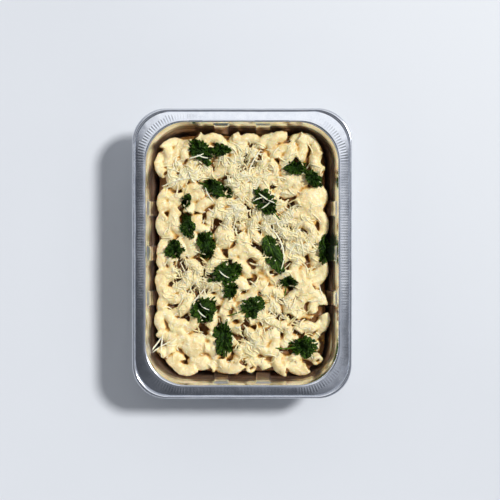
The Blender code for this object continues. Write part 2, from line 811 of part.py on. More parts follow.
def main():
    clear_scene()
    meal = bpy.data.collections.new("foil_tray_meal")
    bpy.context.scene.collection.children.link(meal)
    foil = make_material("foil", FOIL_COLOUR, 0.3, 1.0)
    pasta = make_material("pasta", PASTA_COLOUR, 0.45, 0.0)
    kale = make_material("kale", KALE_COLOUR, 0.4, 0.0)
    build_pan(meal, foil)
    heap = build_heap(meal, pasta)
    build_kale(surface_of(heap), meal, kale)


main()
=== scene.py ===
"""The looks of a foil tray meal: pressed foil, macaroni in cheese sauce, grated cheese and wilted kale."""

import math

import bmesh
import bpy
import numpy as np
from mathutils import Matrix, Vector, noise
from mathutils.bvhtree import BVHTree


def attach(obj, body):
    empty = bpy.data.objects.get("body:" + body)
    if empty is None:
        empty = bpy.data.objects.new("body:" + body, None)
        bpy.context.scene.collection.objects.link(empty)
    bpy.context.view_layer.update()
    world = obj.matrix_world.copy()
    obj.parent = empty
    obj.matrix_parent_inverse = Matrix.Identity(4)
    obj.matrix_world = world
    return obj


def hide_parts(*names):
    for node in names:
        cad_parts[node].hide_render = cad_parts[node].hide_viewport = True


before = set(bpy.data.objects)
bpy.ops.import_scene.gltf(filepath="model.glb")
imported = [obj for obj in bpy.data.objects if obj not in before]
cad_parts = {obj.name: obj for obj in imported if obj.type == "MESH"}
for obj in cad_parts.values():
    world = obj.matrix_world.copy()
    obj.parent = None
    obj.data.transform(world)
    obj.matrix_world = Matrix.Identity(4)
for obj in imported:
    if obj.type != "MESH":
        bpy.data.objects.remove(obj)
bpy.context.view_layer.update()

# The pan's driving sizes, in metres, as in the frame.
PAN_WIDTH = 0.171
PAN_LENGTH = 0.2255
PAN_HEIGHT = 0.045
RIM_WIDTH = 0.0108
RIM_RADIUS = 0.0264
MOUTH_RADIUS = 0.0318
MOUTH_X = PAN_WIDTH / 2 - RIM_WIDTH
MOUTH_Y = PAN_LENGTH / 2 - RIM_WIDTH
CORNER_X = MOUTH_X - MOUTH_RADIUS
CORNER_Y = MOUTH_Y - MOUTH_RADIUS
FOIL = 0.00025

# The ribs pressed into the walls, and the walls' own levels.
RIB_WIDTH = 0.0108
RIB_SLOPE = 0.0009
RIB_DEPTH = 0.0019
RIB_TOP_DEPTH = 0.0007
LONG_SIDE_RIBS = (-0.0352, 0.0, 0.0352)
SHORT_SIDE_RIBS = (-0.0163, 0.0163)
STEP_DROP = 0.0165
STEP_WIDTH = 0.0007
WALL_TOP_INSET = 0.0012
STEP_INSET = 0.0043
HEEL_INSET = 0.0110
BASE_INSET = 0.0138
HEEL_TOP = 0.0068
SHELF_FALL = 0.0007
WALL_TOP_FALL = 0.0044
FLANGE_START = 0.0016
FLANGE_WIDTH = 0.0064

# How finely the pan is made: steps on each long side, short side and corner.
LONG_STEPS = 228
SHORT_STEPS = 156
CORNER_STEPS = 54
KNURL = 0.000034
FLANGE_BULGE = 0.00004
FLANGE_FALL = 0.00055
BEAD_RADIUS = 0.00115
DENT_ROOM = 0.0002
DENT_PLACES = ((9.3, -1.5, -7.9), (5.7, 8.1, 3.3))
DENT_FREE_BELOW = 0.006
DENT_FULL_AFTER = 0.02
SOFT_DENT_SCALE = 38.0
SOFT_DENT = 0.00022
FINE_DENT_SCALE = 130.0
FINE_DENT = 0.00008

# The pasta: bent tubes, laid one after the other on a map of heights with this cell.
CELL = 0.001
TUBE_RADIUS = (0.0041, 0.0048)
BEND_RADIUS = (0.0080, 0.0112)
BEND_SWEEP = (90, 200)
TUBE_RISE = (0.0, 0.0065)
SINK = 0.0022
WALL_GAP = 0.0011
WALL_ZONE = 0.0200
NESTLE_ROOM = 0.0060
NESTLE_DROP = 0.0090
HEAP_START = 0.0200
HEAP_TOP = 0.0375
HEAP_LUMP = 0.0016
HEAP_EDGE_DROP = 0.0050
HEAP_EDGE_REACH = 0.0110
UNDER_DROP = 0.0060
TUBES_UNDER = 150
TUBES_OVER = 330
PRESS = 0.0075
LEAST_GAIN = 0.0016
MOST_GAIN = 0.0060
TRIES = 12
MOVE_IN = 0.985
TIPPED_SHARE = 0.30
HEAP_SEED = 11
STATIONS = 11
TUBE_SIDES = 18
TUBE_STEPS = 14
BORE_SHARE = 0.40
BORE_DEPTH = 0.0060

# Gaps between the heap and the walls: x, y, reach across and reach along.
POCKET_DEPTH = 0.0120
POCKETS = (
    (-0.0570, 0.0930, 0.0100, 0.0060),
    (-0.0680, 0.0515, 0.0035, 0.0110),
    (-0.0690, 0.0230, 0.0035, 0.0120),
    (-0.0300, -0.0950, 0.0110, 0.0040),
    (0.0140, -0.0950, 0.0120, 0.0035),
    (-0.0670, -0.0700, 0.0040, 0.0070),
    (0.0690, 0.0760, 0.0070, 0.0180),
    (0.0700, 0.0180, 0.0045, 0.0150),
    (0.0700, -0.0230, 0.0070, 0.0110),
    (0.0700, -0.0560, 0.0045, 0.0160),
    (-0.0210, 0.0990, 0.0070, 0.0035),
    (0.0230, 0.0990, 0.0110, 0.0035),
)

# Mounds of sauce that hide the pasta: middle x, y and z, then how far they reach along x, y and z.
SAUCE_MOUNDS = (
    (0.0527, 0.0391, 0.0312, 0.0115, 0.0135, 0.0058),
    (-0.0543, -0.0800, 0.0275, 0.0065, 0.0100, 0.0055),
    (-0.0318, -0.0845, 0.0285, 0.0115, 0.0075, 0.0055),
    (-0.0370, -0.0720, 0.0300, 0.0120, 0.0100, 0.0060),
    (0.0360, -0.0860, 0.0285, 0.0120, 0.0065, 0.0050),
    (-0.0140, 0.0130, 0.0305, 0.0085, 0.0100, 0.0055),
)

# Tubes that lie on top in plain sight: x, y, heading, sweep, tip out of the level, in metres and degrees.
TOP_TUBES = (
    (-0.0665, 0.0600, 5, 120, 15),
    (-0.0610, 0.0790, 150, 190, 20),
    (0.0165, 0.0800, 95, 205, 25),
    (0.0460, 0.0810, 0, 110, 30),
    (0.0600, 0.0745, 190, 120, 20),
    (0.0580, 0.0380, 40, 160, 15),
    (-0.0320, 0.0330, 60, 215, 20),
    (-0.0620, 0.0225, 200, 150, 25),
    (-0.0640, 0.0010, 170, 150, 30),
    (0.0230, -0.0180, 265, 170, 10),
    (0.0630, -0.0170, 330, 150, 20),
    (0.0480, -0.0480, 90, 110, 10),
    (0.0500, -0.0585, 90, 110, 10),
    (0.0380, -0.0600, 30, 140, 60),
    (0.0520, -0.0865, 100, 150, 50),
    (0.0300, -0.0880, 200, 130, 15),
    (-0.0260, -0.0860, 20, 140, 20),
    (-0.0500, -0.0700, 120, 160, 15),
    (-0.0590, -0.0840, 75, 120, 25),
    (-0.0030, -0.0870, 0, 120, 40),
)

# Tubes against the wall, laid after all the others where the heap is still low there.
EDGE_TUBES = 34
EDGE_ZONE = (0.0095, 0.0150)
EDGE_FLOOR = 0.0245
EDGE_APART = 0.0080
EDGE_KEPT_FREE = (0.0560, -0.0815, 0.0130)
EDGE_LID = 0.0340
EDGE_SEED = 23

# The sauce between the tubes.
CORE_RINGS = 40
CORE_SINK = 0.0060
CORE_RANGE = 0.0040
CORE_LEVEL = 0.0262
CORE_GAP = 0.0006
CORE_EDGE_DROP = 0.0060
CORE_EDGE_REACH = 0.0120
CORE_MIDDLE_LINE = 0.28
CORE_READ_AT = 0.97
VOXEL = 0.0006
FOOD_TRIANGLES = 190000
SAUCE_ROUNDS = 5
FOOD_GAP = 0.0004
LUMP_SCALE = 260.0
LUMP = 0.00048
CURD_SCALE = 620.0
CURD = 0.00028
LUMPS_ABOVE = 0.018

# How deep a gap lies in the food, which paints the sauce amber and brown there, partly its own colour and
# partly painted shade: the share at the surface, and the depths that add 1 to it.
HOLLOW_CELL = 0.0008
HOLLOW_START = 0.22
HOLLOW_MOST = 1.2
BROAD_HOLLOW = 0.0045
FINE_HOLLOW = 0.0024
WALL_HOLLOW_LOSS = 0.6

# Grated cheese: thick patches as x, y, spread across, spread along and number, then a thin scatter.
SHRED_PATCHES = (
    (0.0004, 0.0744, 0.0100, 0.0090, 95),
    (0.0060, 0.0560, 0.0110, 0.0080, 70),
    (0.0080, 0.0330, 0.0120, 0.0120, 90),
    (-0.0060, 0.0300, 0.0100, 0.0090, 60),
    (0.0430, 0.0100, 0.0120, 0.0120, 110),
    (0.0310, 0.0280, 0.0100, 0.0090, 60),
    (-0.0400, -0.0200, 0.0120, 0.0110, 120),
    (-0.0450, 0.0600, 0.0090, 0.0070, 60),
    (0.0300, -0.0450, 0.0110, 0.0110, 70),
    (0.0040, -0.0700, 0.0090, 0.0110, 50),
)
SHRED_SCATTER = 300
SHRED_LENGTH = (0.0035, 0.0095)
SHRED_WIDTH = (0.0010, 0.0016)
CRUMB_SHARE = 0.7
CRUMB_SCATTER = 640
CRUMB_LENGTH = (0.0012, 0.0032)
CRUMB_WIDTH = (0.0006, 0.0011)
SHRED_SAG = 0.0025
LONG_SHRED_SAG = 0.0012
SHRED_STEPS = 6
SHRED_SIDES = 5
SHRED_SEED = 5

# Long shreds that catch the eye: both ends, the bow of the curve and the width.
LONG_SHREDS = (
    ((0.0215, 0.0208), (0.0300, -0.0148), -0.0062, 0.0014),
    ((-0.0287, 0.0515), (-0.0217, 0.0399), 0.0010, 0.0012),
    ((-0.0713, -0.0763), (-0.0620, -0.0640), 0.0004, 0.0013),
    ((-0.0620, -0.0640), (-0.0630, -0.0815), 0.0006, 0.0012),
    ((-0.0700, -0.0775), (-0.0560, -0.0690), -0.0006, 0.0011),
    ((-0.0418, 0.0740), (-0.0300, 0.0779), 0.0005, 0.0013),
    ((-0.0350, 0.0770), (-0.0265, 0.0745), 0.0006, 0.0011),
    ((0.0605, -0.0245), (0.0645, -0.0365), 0.0006, 0.0010),
    ((0.0145, 0.0810), (0.0050, 0.0640), 0.0008, 0.0012),
    ((-0.0395, -0.0384), (-0.0300, -0.0283), 0.0006, 0.0012),
    ((-0.0262, 0.0352), (-0.0200, 0.0314), 0.0006, 0.0012),
    ((-0.0400, 0.0590), (-0.0560, 0.0545), 0.0012, 0.0012),
    ((0.0130, 0.0470), (0.0255, 0.0395), 0.0008, 0.0013),
    ((0.0150, 0.0350), (0.0240, 0.0430), 0.0008, 0.0012),
    ((0.0080, 0.0405), (0.0180, 0.0440), -0.0008, 0.0012),
    ((-0.0330, -0.0390), (-0.0255, -0.0440), 0.0010, 0.0011),
    ((-0.0345, -0.0440), (-0.0280, -0.0500), 0.0008, 0.0011),
    ((-0.0180, -0.0130), (-0.0100, -0.0190), 0.0010, 0.0011),
)

# Kale: x, y, length, width, heading of each piece, in metres and degrees.
KALE = (
    (-0.0325, 0.0797, 0.0215, 0.0145, -48),
    (-0.0168, 0.0812, 0.0150, 0.0095, 8),
    (-0.0203, 0.0510, 0.0225, 0.0120, -25),
    (0.0418, 0.0675, 0.0165, 0.0110, 14),
    (0.0553, 0.0585, 0.0180, 0.0100, -50),
    (0.0177, 0.0410, 0.0205, 0.0140, -52),
    (-0.0437, 0.0410, 0.0105, 0.0070, 72),
    (-0.0421, 0.0215, 0.0165, 0.0115, -72),
    (-0.0281, 0.0066, 0.0240, 0.0120, -84),
    (-0.0530, 0.0027, 0.0145, 0.0130, 20),
    (-0.0128, -0.0150, 0.0240, 0.0160, 22),
    (-0.0090, -0.0292, 0.0125, 0.0100, 60),
    (-0.0296, -0.0432, 0.0200, 0.0180, 40),
    (0.0080, -0.0417, 0.0170, 0.0150, 30),
    (-0.0140, -0.0658, 0.0255, 0.0150, 88),
    (0.0242, -0.0006, 0.0280, 0.0145, -68),
    (0.0650, 0.0030, 0.0195, 0.0095, 85),
    (0.0366, -0.0226, 0.0125, 0.0085, -12),
    (0.0485, -0.0735, 0.0200, 0.0150, -8),
)
LEAF_GRID = 44
LEAF_SEED = 3
LEAF_LIFT = 0.0017
LEAF_RUFFLE = 0.0014
LEAF_CRUMPLE = 0.0021
LEAF_TAPER = 0.28
LEAF_LEAN = 0.0070
LEAF_GAP = 0.0007
LEAF_THICKNESS = 0.00028
LEAF_FOLD = 0.0007
FOLD_WIDTH = 0.12
RUFFLES = 7
SMALL_RUFFLES = 19
SMALL_RUFFLE_SHARE = 0.45
VEIN_WIDTH = 0.05
VEIN_END = 0.8
SIDE_VEINS = 9.0
SIDE_VEIN_SLANT = 0.9
SIDE_VEIN_WIDTH = 0.2
PALE_VEINS = (0.9, 0.6)
DARK_VEINS = (0.25, 0.10)
LUMP_ON_LEAF_SCALE = 300.0
CREASE_SCALE = 620.0
CREASE_SHARE = 1.1
SECOND_SHEET_SMALLER = 0.22
LEAF_REACH = 1.09
LEAF_REACH_LIMITS = (0.50, 1.30)
SMOOTH_LEAF = 16
STEMS = (
    ((0.0260, -0.0740), (0.0420, -0.0735), 0.0008, 0.0014),
    ((0.0330, 0.0200), (0.0240, 0.0330), 0.0008, 0.0013),
    ((-0.0165, -0.0790), (-0.0150, -0.0700), 0.0005, 0.0016),
    ((0.0330, -0.0340), (0.0345, -0.0265), 0.0004, 0.0012),
    ((-0.0120, -0.0490), (0.0020, -0.0440), 0.0006, 0.0012),
)

# The photograph's view: straight down, this many metres wide at the rim.
VIEW_WIDTH = 0.3875
VIEW_DISTANCE = 1.0
VIEW_CENTRE = (0.0062, 0.0027)

# Light from the upper right.
SUN_ELEVATION = 50
SUN_AZIMUTH = 27
SUN_WIDTH = 9.5
SUN_STRENGTH = 3.1

# The room, by direction: its ceiling's light grows to the back and the corners, and is less to both sides.
CEILING = 0.385
CEILING_LIMITS = (0.07, 1.05)
CEILING_FROM = (0.79, 0.915)
TO_THE_BACK = 5.5
TO_THE_RIGHT = 2.7
TO_BOTH_SIDES = -25.0
TO_THE_CORNERS = 47.0
LESS_IN_TWO_CORNERS = 18.0
CORNER_CAP = 0.6
CORNER_CAP_OVERHEAD = 0.35
CORNER_CAP_RIGHT = 1.8
OVERHEAD = (0.95, 0.98)
ROOM_LEVEL = 0.26
ROOM_TILT = 0.17
BAND_LEVEL = 0.55
BAND_START = (0.42, 0.50)
BAND_END = (0.64, 0.56)


# Material helpers. The room uses them too, because it also has a node tree.


def new_material(name):
    material = bpy.data.materials.new(name)
    material.use_nodes = True
    nodes = material.node_tree.nodes
    nodes.clear()
    shader = nodes.new("ShaderNodeBsdfPrincipled")
    output = nodes.new("ShaderNodeOutputMaterial")
    material.node_tree.links.new(shader.outputs["BSDF"], output.inputs["Surface"])
    return material, shader


def add_node(material, kind, inputs=None, **settings):
    """A node with these settings. An input is a value, or an output socket to link."""
    node = material.node_tree.nodes.new(kind)
    for name, value in settings.items():
        setattr(node, name, value)
    for name, value in (inputs or {}).items():
        link_or_set(material, node.inputs[name], value)
    return node


def link_or_set(material, socket, value):
    if isinstance(value, bpy.types.NodeSocket):
        material.node_tree.links.new(value, socket)
    else:
        socket.default_value = value


def object_place(material):
    return add_node(material, "ShaderNodeTexCoord").outputs["Object"]


def noise_at(material, scale, detail=3.0, roughness=0.55, place=None):
    inputs = {
        "Vector": place or object_place(material),
        "Scale": scale,
        "Detail": detail,
        "Roughness": roughness,
    }
    return add_node(material, "ShaderNodeTexNoise", inputs).outputs["Fac"]


def remap(material, value, low, high, new_low=0.0, new_high=1.0):
    inputs = {"Value": value, "From Min": low, "From Max": high, "To Min": new_low, "To Max": new_high}
    return add_node(material, "ShaderNodeMapRange", inputs).outputs["Result"]


def maths(material, operation, a, b=0.0):
    return add_node(material, "ShaderNodeMath", {0: a, 1: b}, operation=operation).outputs["Value"]


def times(material, a, b):
    return maths(material, "MULTIPLY", a, b)


def plus(material, a, b):
    return maths(material, "ADD", a, b)


def mix_colour(material, share, a, b):
    node = add_node(material, "ShaderNodeMix", data_type="RGBA")
    link_or_set(material, node.inputs[0], share)
    link_or_set(material, node.inputs[6], a)
    link_or_set(material, node.inputs[7], b)
    return node.outputs[2]


def attribute(material, name):
    return add_node(material, "ShaderNodeAttribute", attribute_name=name).outputs["Fac"]


def bump(material, height, distance, strength=1.0, below=None):
    inputs = {"Height": height, "Distance": distance, "Strength": strength}
    if below:
        inputs["Normal"] = below
    return add_node(material, "ShaderNodeBump", inputs).outputs["Normal"]


def foil_material():
    """Pressed aluminium: satin on the walls, brighter and smoother where the rim was rolled, with a blue tint
    there that is painted reflection.
    """
    material, shader = new_material("foil")
    place = object_place(material)
    rim = attribute(material, "rim")
    broad = noise_at(material, 45.0, 2.0, place=place)
    dents = noise_at(material, 190.0, 3.0, place=place)
    grain = noise_at(material, 2600.0, 2.0, place=place)
    shader.inputs["Metallic"].default_value = 1.0
    tone = remap(material, dents, 0.3, 0.7)
    inside = mix_colour(material, tone, (0.82, 0.83, 0.86, 1.0), (0.90, 0.91, 0.93, 1.0))
    # The rolled rim's blue tint is painted reflection of a bluish room, not the foil's own colour.
    rolled = mix_colour(material, tone, (0.79, 0.82, 0.89, 1.0), (0.86, 0.885, 0.94, 1.0))
    link_or_set(material, shader.inputs["Base Color"], mix_colour(material, rim, inside, rolled))
    satin = remap(material, grain, 0.25, 0.75, 0.26, 0.34)
    polished = remap(material, grain, 0.25, 0.75, 0.12, 0.17)
    wear = times(material, maths(material, "SUBTRACT", polished, satin), rim)
    link_or_set(material, shader.inputs["Roughness"], plus(material, satin, wear))
    waves = bump(material, broad, 0.0008, 0.4)
    walls = maths(material, "SUBTRACT", 1.0, times(material, rim, 0.85))
    waves = bump(material, times(material, dents, walls), 0.00025, 0.5, waves)
    link_or_set(material, shader.inputs["Normal"], waves)
    return material


def sauce_material():
    """Cheese sauce over pasta: cream where it stands proud, orange-brown down in the gaps, partly the sauce's
    own colour there and partly painted shade.
    """
    material, shader = new_material("cheese_sauce_with_painted_shade")
    place = object_place(material)
    hollow_shade = attribute(material, "hollow_shade")
    patches = noise_at(material, 90.0, 3.0, place=place)
    curds = noise_at(material, 420.0, 4.0, 0.6, place=place)
    grains = noise_at(material, 1500.0, 3.0, 0.6, place=place)
    patchy = remap(material, patches, 0.35, 0.65)
    cream = mix_colour(material, patchy, (0.81, 0.63, 0.29, 1.0), (0.88, 0.74, 0.41, 1.0))
    cream = mix_colour(material, remap(material, curds, 0.50, 0.68), cream, (0.92, 0.84, 0.57, 1.0))
    uneven = plus(material, hollow_shade, times(material, curds, 0.25))
    # Amber, then near-black brown deeper down in the gaps: partly the sauce's own colour, partly painted
    # shade.
    amber_and_shade = mix_colour(material, remap(material, uneven, 0.44, 0.84), cream, (0.66, 0.36, 0.065, 1.0))
    deep = mix_colour(material, remap(material, uneven, 0.84, 1.12), amber_and_shade, (0.20, 0.080, 0.012, 1.0))
    link_or_set(material, shader.inputs["Base Color"], deep)
    link_or_set(material, shader.inputs["Roughness"], remap(material, curds, 0.3, 0.7, 0.44, 0.62))
    shader.inputs["Subsurface Weight"].default_value = 0.45
    shader.inputs["Subsurface Radius"].default_value = (1.0, 0.55, 0.22)
    shader.inputs["Subsurface Scale"].default_value = 0.0022
    shader.inputs["Coat Weight"].default_value = 0.12
    shader.inputs["Coat Roughness"].default_value = 0.20
    relief = bump(material, curds, 0.0008, 0.7)
    relief = bump(material, grains, 0.0003, 0.6, relief)
    link_or_set(material, shader.inputs["Normal"], relief)
    return material


def shred_material():
    """Grated cheese, paler where its tint is high."""
    material, shader = new_material("grated_cheese")
    place = object_place(material)
    tint = attribute(material, "tint")
    grain = noise_at(material, 1800.0, 2.0, place=place)
    colour = mix_colour(material, tint, (0.88, 0.71, 0.35, 1.0), (0.94, 0.87, 0.64, 1.0))
    link_or_set(material, shader.inputs["Base Color"], colour)
    shader.inputs["Roughness"].default_value = 0.42
    shader.inputs["Subsurface Weight"].default_value = 0.4
    shader.inputs["Subsurface Radius"].default_value = (1.0, 0.7, 0.4)
    shader.inputs["Subsurface Scale"].default_value = 0.0012
    link_or_set(material, shader.inputs["Normal"], bump(material, grain, 0.0001, 0.5))
    return material


def kale_material():
    """Wilted leaf: near black in its folds, with small wet highlights on the blisters, and paler green on the
    frilled edges that is partly its own colour and partly painted highlight.
    """
    material, shader = new_material("kale")
    place = object_place(material)
    vein = attribute(material, "vein")
    edge = attribute(material, "edge")
    patches = noise_at(material, 420.0, 3.0, place=place)
    blisters = noise_at(material, 1000.0, 2.0, place=place)
    wet = noise_at(material, 700.0, 2.0, place=place)
    patchy = remap(material, patches, 0.38, 0.66)
    green = mix_colour(material, patchy, (0.0010, 0.0070, 0.0003, 1.0), (0.013, 0.046, 0.001, 1.0))
    # Paler green on the frilled edges where the wet noise is high: partly the leaf's own paler fringe, partly
    # painted highlight.
    outer = times(material, edge, edge)
    frill = times(material, outer, remap(material, wet, 0.45, 0.6))
    green = mix_colour(material, frill, green, (0.070, 0.145, 0.007, 1.0))
    colour = mix_colour(material, vein, green, (0.085, 0.17, 0.012, 1.0))
    link_or_set(material, shader.inputs["Base Color"], colour)
    link_or_set(material, shader.inputs["Roughness"], remap(material, wet, 0.48, 0.64, 0.60, 0.20))
    shader.inputs["Specular IOR Level"].default_value = 0.17
    relief = bump(material, blisters, 0.0010, 0.8)
    link_or_set(material, shader.inputs["Normal"], relief)
    return material


def floor_material():
    """A pale table top, a little paler to the upper right: painted light in its colour."""
    material, shader = new_material("table_top_painted_light")
    mottle = noise_at(material, 14.0, 3.0)
    colour = mix_colour(material, mottle, (0.658, 0.679, 0.712, 1.0), (0.673, 0.694, 0.727, 1.0))
    # Painted light: the top grows paler towards the upper right.
    axes = add_node(material, "ShaderNodeSeparateXYZ", {"Vector": object_place(material)}).outputs
    across = plus(material, axes["X"], axes["Y"])
    colour = mix_colour(material, remap(material, across, 0.08, 0.40), colour, (0.750, 0.770, 0.795, 1.0))
    link_or_set(material, shader.inputs["Base Color"], colour)
    shader.inputs["Roughness"].default_value = 0.7
    return material


# Mesh helpers.


def mesh_from(bm, name):
    mesh = bpy.data.meshes.new(name)
    bm.to_mesh(mesh)
    bm.free()
    return mesh


def mesh_of_parts(name, points, faces, count):
    """One mesh of this many parts in a row, which all have these faces."""
    size = len(points) // count
    mesh = bpy.data.meshes.new(name)
    all_faces = np.concatenate([faces + i * size for i in range(count)])
    mesh.from_pydata(points.tolist(), [], all_faces.tolist())
    mesh.update()
    return mesh


def link_mesh(mesh, name, material=None):
    obj = bpy.data.objects.new(name, mesh)
    bpy.context.scene.collection.objects.link(obj)
    if material:
        mesh.materials.clear()
        mesh.materials.append(material)
    mesh.shade_smooth()
    return obj


def apply_modifiers(obj):
    bpy.context.view_layer.update()
    graph = bpy.context.evaluated_depsgraph_get()
    baked = bpy.data.meshes.new_from_object(obj.evaluated_get(graph))
    obj.modifiers.clear()
    old = obj.data
    obj.data = baked
    bpy.data.meshes.remove(old)


def points_of(mesh):
    points = np.empty(len(mesh.vertices) * 3)
    mesh.vertices.foreach_get("co", points)
    return points.reshape(-1, 3)


def set_points(mesh, points):
    mesh.vertices.foreach_set("co", np.ascontiguousarray(points, dtype=np.float64).ravel())
    mesh.update()


def normals_of(mesh):
    normals = np.empty(len(mesh.vertices) * 3)
    mesh.vertices.foreach_get("normal", normals)
    return normals.reshape(-1, 3)


def set_attribute(mesh, name, values):
    layer = mesh.attributes.get(name) or mesh.attributes.new(name, "FLOAT", "POINT")
    layer.data.foreach_set("value", np.ascontiguousarray(values, dtype=np.float32))


def smoothstep(low, high, value):
    share = np.clip((value - low) / (high - low), 0, 1)
    return share * share * (3 - 2 * share)


# The pan.


def pan_steps():
    """Each step around the pan: outward and forward directions, kind of side, place on it and turn."""
    rows = []
    sides = (
        ((1, 0), (0, 1), True),
        ((0, 1), (-1, 0), False),
        ((-1, 0), (0, -1), True),
        ((0, -1), (1, 0), False),
    )
    for out, along, is_long in sides:
        count = LONG_STEPS if is_long else SHORT_STEPS
        for i in range(count):
            rows.append((*out, *along, is_long, 2 * i / count - 1, 0.0))
        for i in range(CORNER_STEPS):
            rows.append((*out, *along, is_long, 1.0, math.pi / 2 * i / CORNER_STEPS))
    return np.array(rows, dtype=float)


def rib_profile(place, ribs):
    depth = np.zeros_like(place)
    for centre in ribs:
        away = np.abs(place - centre) - RIB_WIDTH / 2
        depth = np.maximum(depth, 1 - smoothstep(0, RIB_SLOPE, away))
    return depth


def corner_reach(turn, outset):
    """How far from the mouth's corner centre this level lies: past the mouth its corners are tighter."""
    share = min(max(outset / RIM_WIDTH, 0.0), 1.0)
    radius = MOUTH_RADIUS + (RIM_RADIUS - MOUTH_RADIUS) * share + min(outset, 0.0)
    side = MOUTH_RADIUS + outset
    shift = side - radius
    cos, sin = np.cos(turn), np.sin(turn)
    away = shift * (cos + sin) + np.sqrt(radius**2 - (shift * (cos - sin)) ** 2)
    away = np.where(side * sin <= shift * cos, side / np.maximum(cos, 0.1), away)
    return np.where(side * cos <= shift * sin, side / np.maximum(sin, 0.1), away)


def pan_ring(steps, outset, z, rib=0.0, knurl=0.0):
    """Points of one level of the pan."""
    out, along = steps[:, 0:2], steps[:, 2:4]
    is_long, place, turn = steps[:, 4] > 0, steps[:, 5], steps[:, 6]
    away = corner_reach(turn, outset)
    reach = np.where(is_long, MOUTH_X, MOUTH_Y)
    half = np.where(is_long, MOUTH_Y, MOUTH_X)
    forward = place * (half - MOUTH_RADIUS) + away * np.sin(turn)
    ribs = np.where(
        is_long, rib_profile(forward, LONG_SIDE_RIBS), rib_profile(forward, SHORT_SIDE_RIBS)
    ) * (turn == 0) * (np.abs(place) < 1)
    outward = reach - MOUTH_RADIUS + away * np.cos(turn) - ribs * rib
    flat = out * outward[:, None] + along * forward[:, None]
    height = np.full(len(steps), z) + knurl * knurl_pattern(steps)
    return np.column_stack([flat, height])


def knurl_pattern(steps):
    """Fine ridges across the flange: deep at the corners and halfway along the long sides."""
    is_long, place, turn = steps[:, 4] > 0, steps[:, 5], steps[:, 6]
    middle = np.exp(-((place / 0.62) ** 4))
    strength = np.where(is_long, 0.25 + 0.75 * middle, 0.25 + 0.45 * np.abs(place) ** 3)
    strength = np.where(turn > 0, 0.70, strength)
    ridge = np.resize((1.0, -1.0), len(steps))
    uneven = np.array([noise.noise(Vector((i * 0.19, 3.7, 0.0))) for i in range(len(steps))])
    return KNURL * strength * (ridge + 0.6 * uneven)


def arc(centre, radius, start, end, steps):
    """Points of an arc in the section plane: outset and height, angles in degrees from outwards."""
    angles = [math.radians(start + (end - start) * i / steps) for i in range(steps + 1)]
    return [(centre[0] + radius * math.cos(a), centre[1] + radius * math.sin(a)) for a in angles]


def pan_levels():
    """Outset, height, rib depth and knurl share of every level, from the base out to the end of the curl."""
    top = PAN_HEIGHT
    levels = [
        (-BASE_INSET - 0.0095, FOIL + 0.00045, 0, 0),
        (-BASE_INSET - 0.0085, FOIL + 0.00045, 0, 0),
        (-BASE_INSET - 0.0078, FOIL, 0, 0),
        (-BASE_INSET - 0.0005, FOIL, 0, 0),
    ]
    levels += [(o, z, 0, 0) for o, z in arc((-BASE_INSET, FOIL + 0.0030), 0.0030, -80, -25, 4)]
    levels.append((-HEEL_INSET + 0.0002, 0.0052, RIB_DEPTH * 0.15, 0))
    levels.append((-HEEL_INSET + 0.0006, HEEL_TOP, RIB_DEPTH, 0))
    foot, shelf = -HEEL_INSET + 0.0006, -STEP_INSET - STEP_WIDTH
    for share in (0.25, 0.5, 0.75, 1.0):
        z = HEEL_TOP + (top - STEP_DROP - SHELF_FALL - HEEL_TOP) * share
        levels.append((foot + (shelf - foot) * share, z, RIB_DEPTH, 0))
    levels.append((-STEP_INSET, top - STEP_DROP, RIB_DEPTH, 0))
    for share in (0.30, 0.34, 0.38, 0.62, 0.66, 0.70, 1.0):
        ledge = 0.00010 if share in (0.34, 0.66) else 0.0
        z = top - STEP_DROP + (STEP_DROP - WALL_TOP_FALL) * share
        outset = -STEP_INSET + (STEP_INSET - WALL_TOP_INSET) * share - ledge
        levels.append((outset, z, RIB_DEPTH + (RIB_TOP_DEPTH - RIB_DEPTH) * share, 0))
    levels.append((-WALL_TOP_INSET + 0.0002, top - 0.0040, 0, 0))
    levels.append((-0.0006, top - 0.0030, 0, 0))
    levels += [(o, z, 0, 0) for o, z in arc((0.0013, top - 0.0023), 0.0014, 170, 80, 5)]
    for share in (0.12, 0.30, 0.50, 0.70, 0.88, 1.0):
        z = top - 0.0009 - FLANGE_FALL * share + FLANGE_BULGE * math.sin(math.pi * share)
        knurl = math.sin(math.pi * min(share, 0.97)) ** 0.5
        levels.append((FLANGE_START + FLANGE_WIDTH * share, z, 0, knurl))
    bead = (RIM_WIDTH - DENT_ROOM - BEAD_RADIUS, top - BEAD_RADIUS)
    levels += [(o, z, 0, 0) for o, z in arc(bead, BEAD_RADIUS, 165, -95, 11)]
    return levels


def dented(points):
    """Soft handling marks: the foil is never quite flat."""
    for p in points:
        place = Vector(p)
        give = min(max((p[2] - DENT_FREE_BELOW) / DENT_FULL_AFTER, 0.0), 1.0)
        for axis, apart in enumerate(DENT_PLACES):
            soft = noise.noise(place * SOFT_DENT_SCALE + Vector(apart))
            fine = noise.noise(place * FINE_DENT_SCALE + Vector(apart))
            p[axis] += (soft * SOFT_DENT + fine * FINE_DENT) * give
    return points


def loft(rings, closed=False):
    """A mesh grown ring by ring, with its first ring filled, and its last one too where it is closed."""
    bm = bmesh.new()
    bmesh.ops.create_circle(bm, cap_ends=False, segments=len(rings[0]), radius=1.0)
    order = bm.verts.layers.int.new("order")
    bm.verts.ensure_lookup_table()
    for i, vert in enumerate(bm.verts):
        vert[order] = i
        vert.co = rings[0][i]
    first = edges = bm.edges[:]
    for ring in rings[1:]:
        grown = bmesh.ops.extrude_edge_only(bm, edges=edges)["geom"]
        edges = [item for item in grown if isinstance(item, bmesh.types.BMEdge) and item.is_boundary]
        for item in grown:
            if isinstance(item, bmesh.types.BMVert):
                item.co = ring[item[order]]
    bmesh.ops.contextual_create(bm, geom=first)
    if closed:
        bmesh.ops.contextual_create(bm, geom=edges)
    return bm


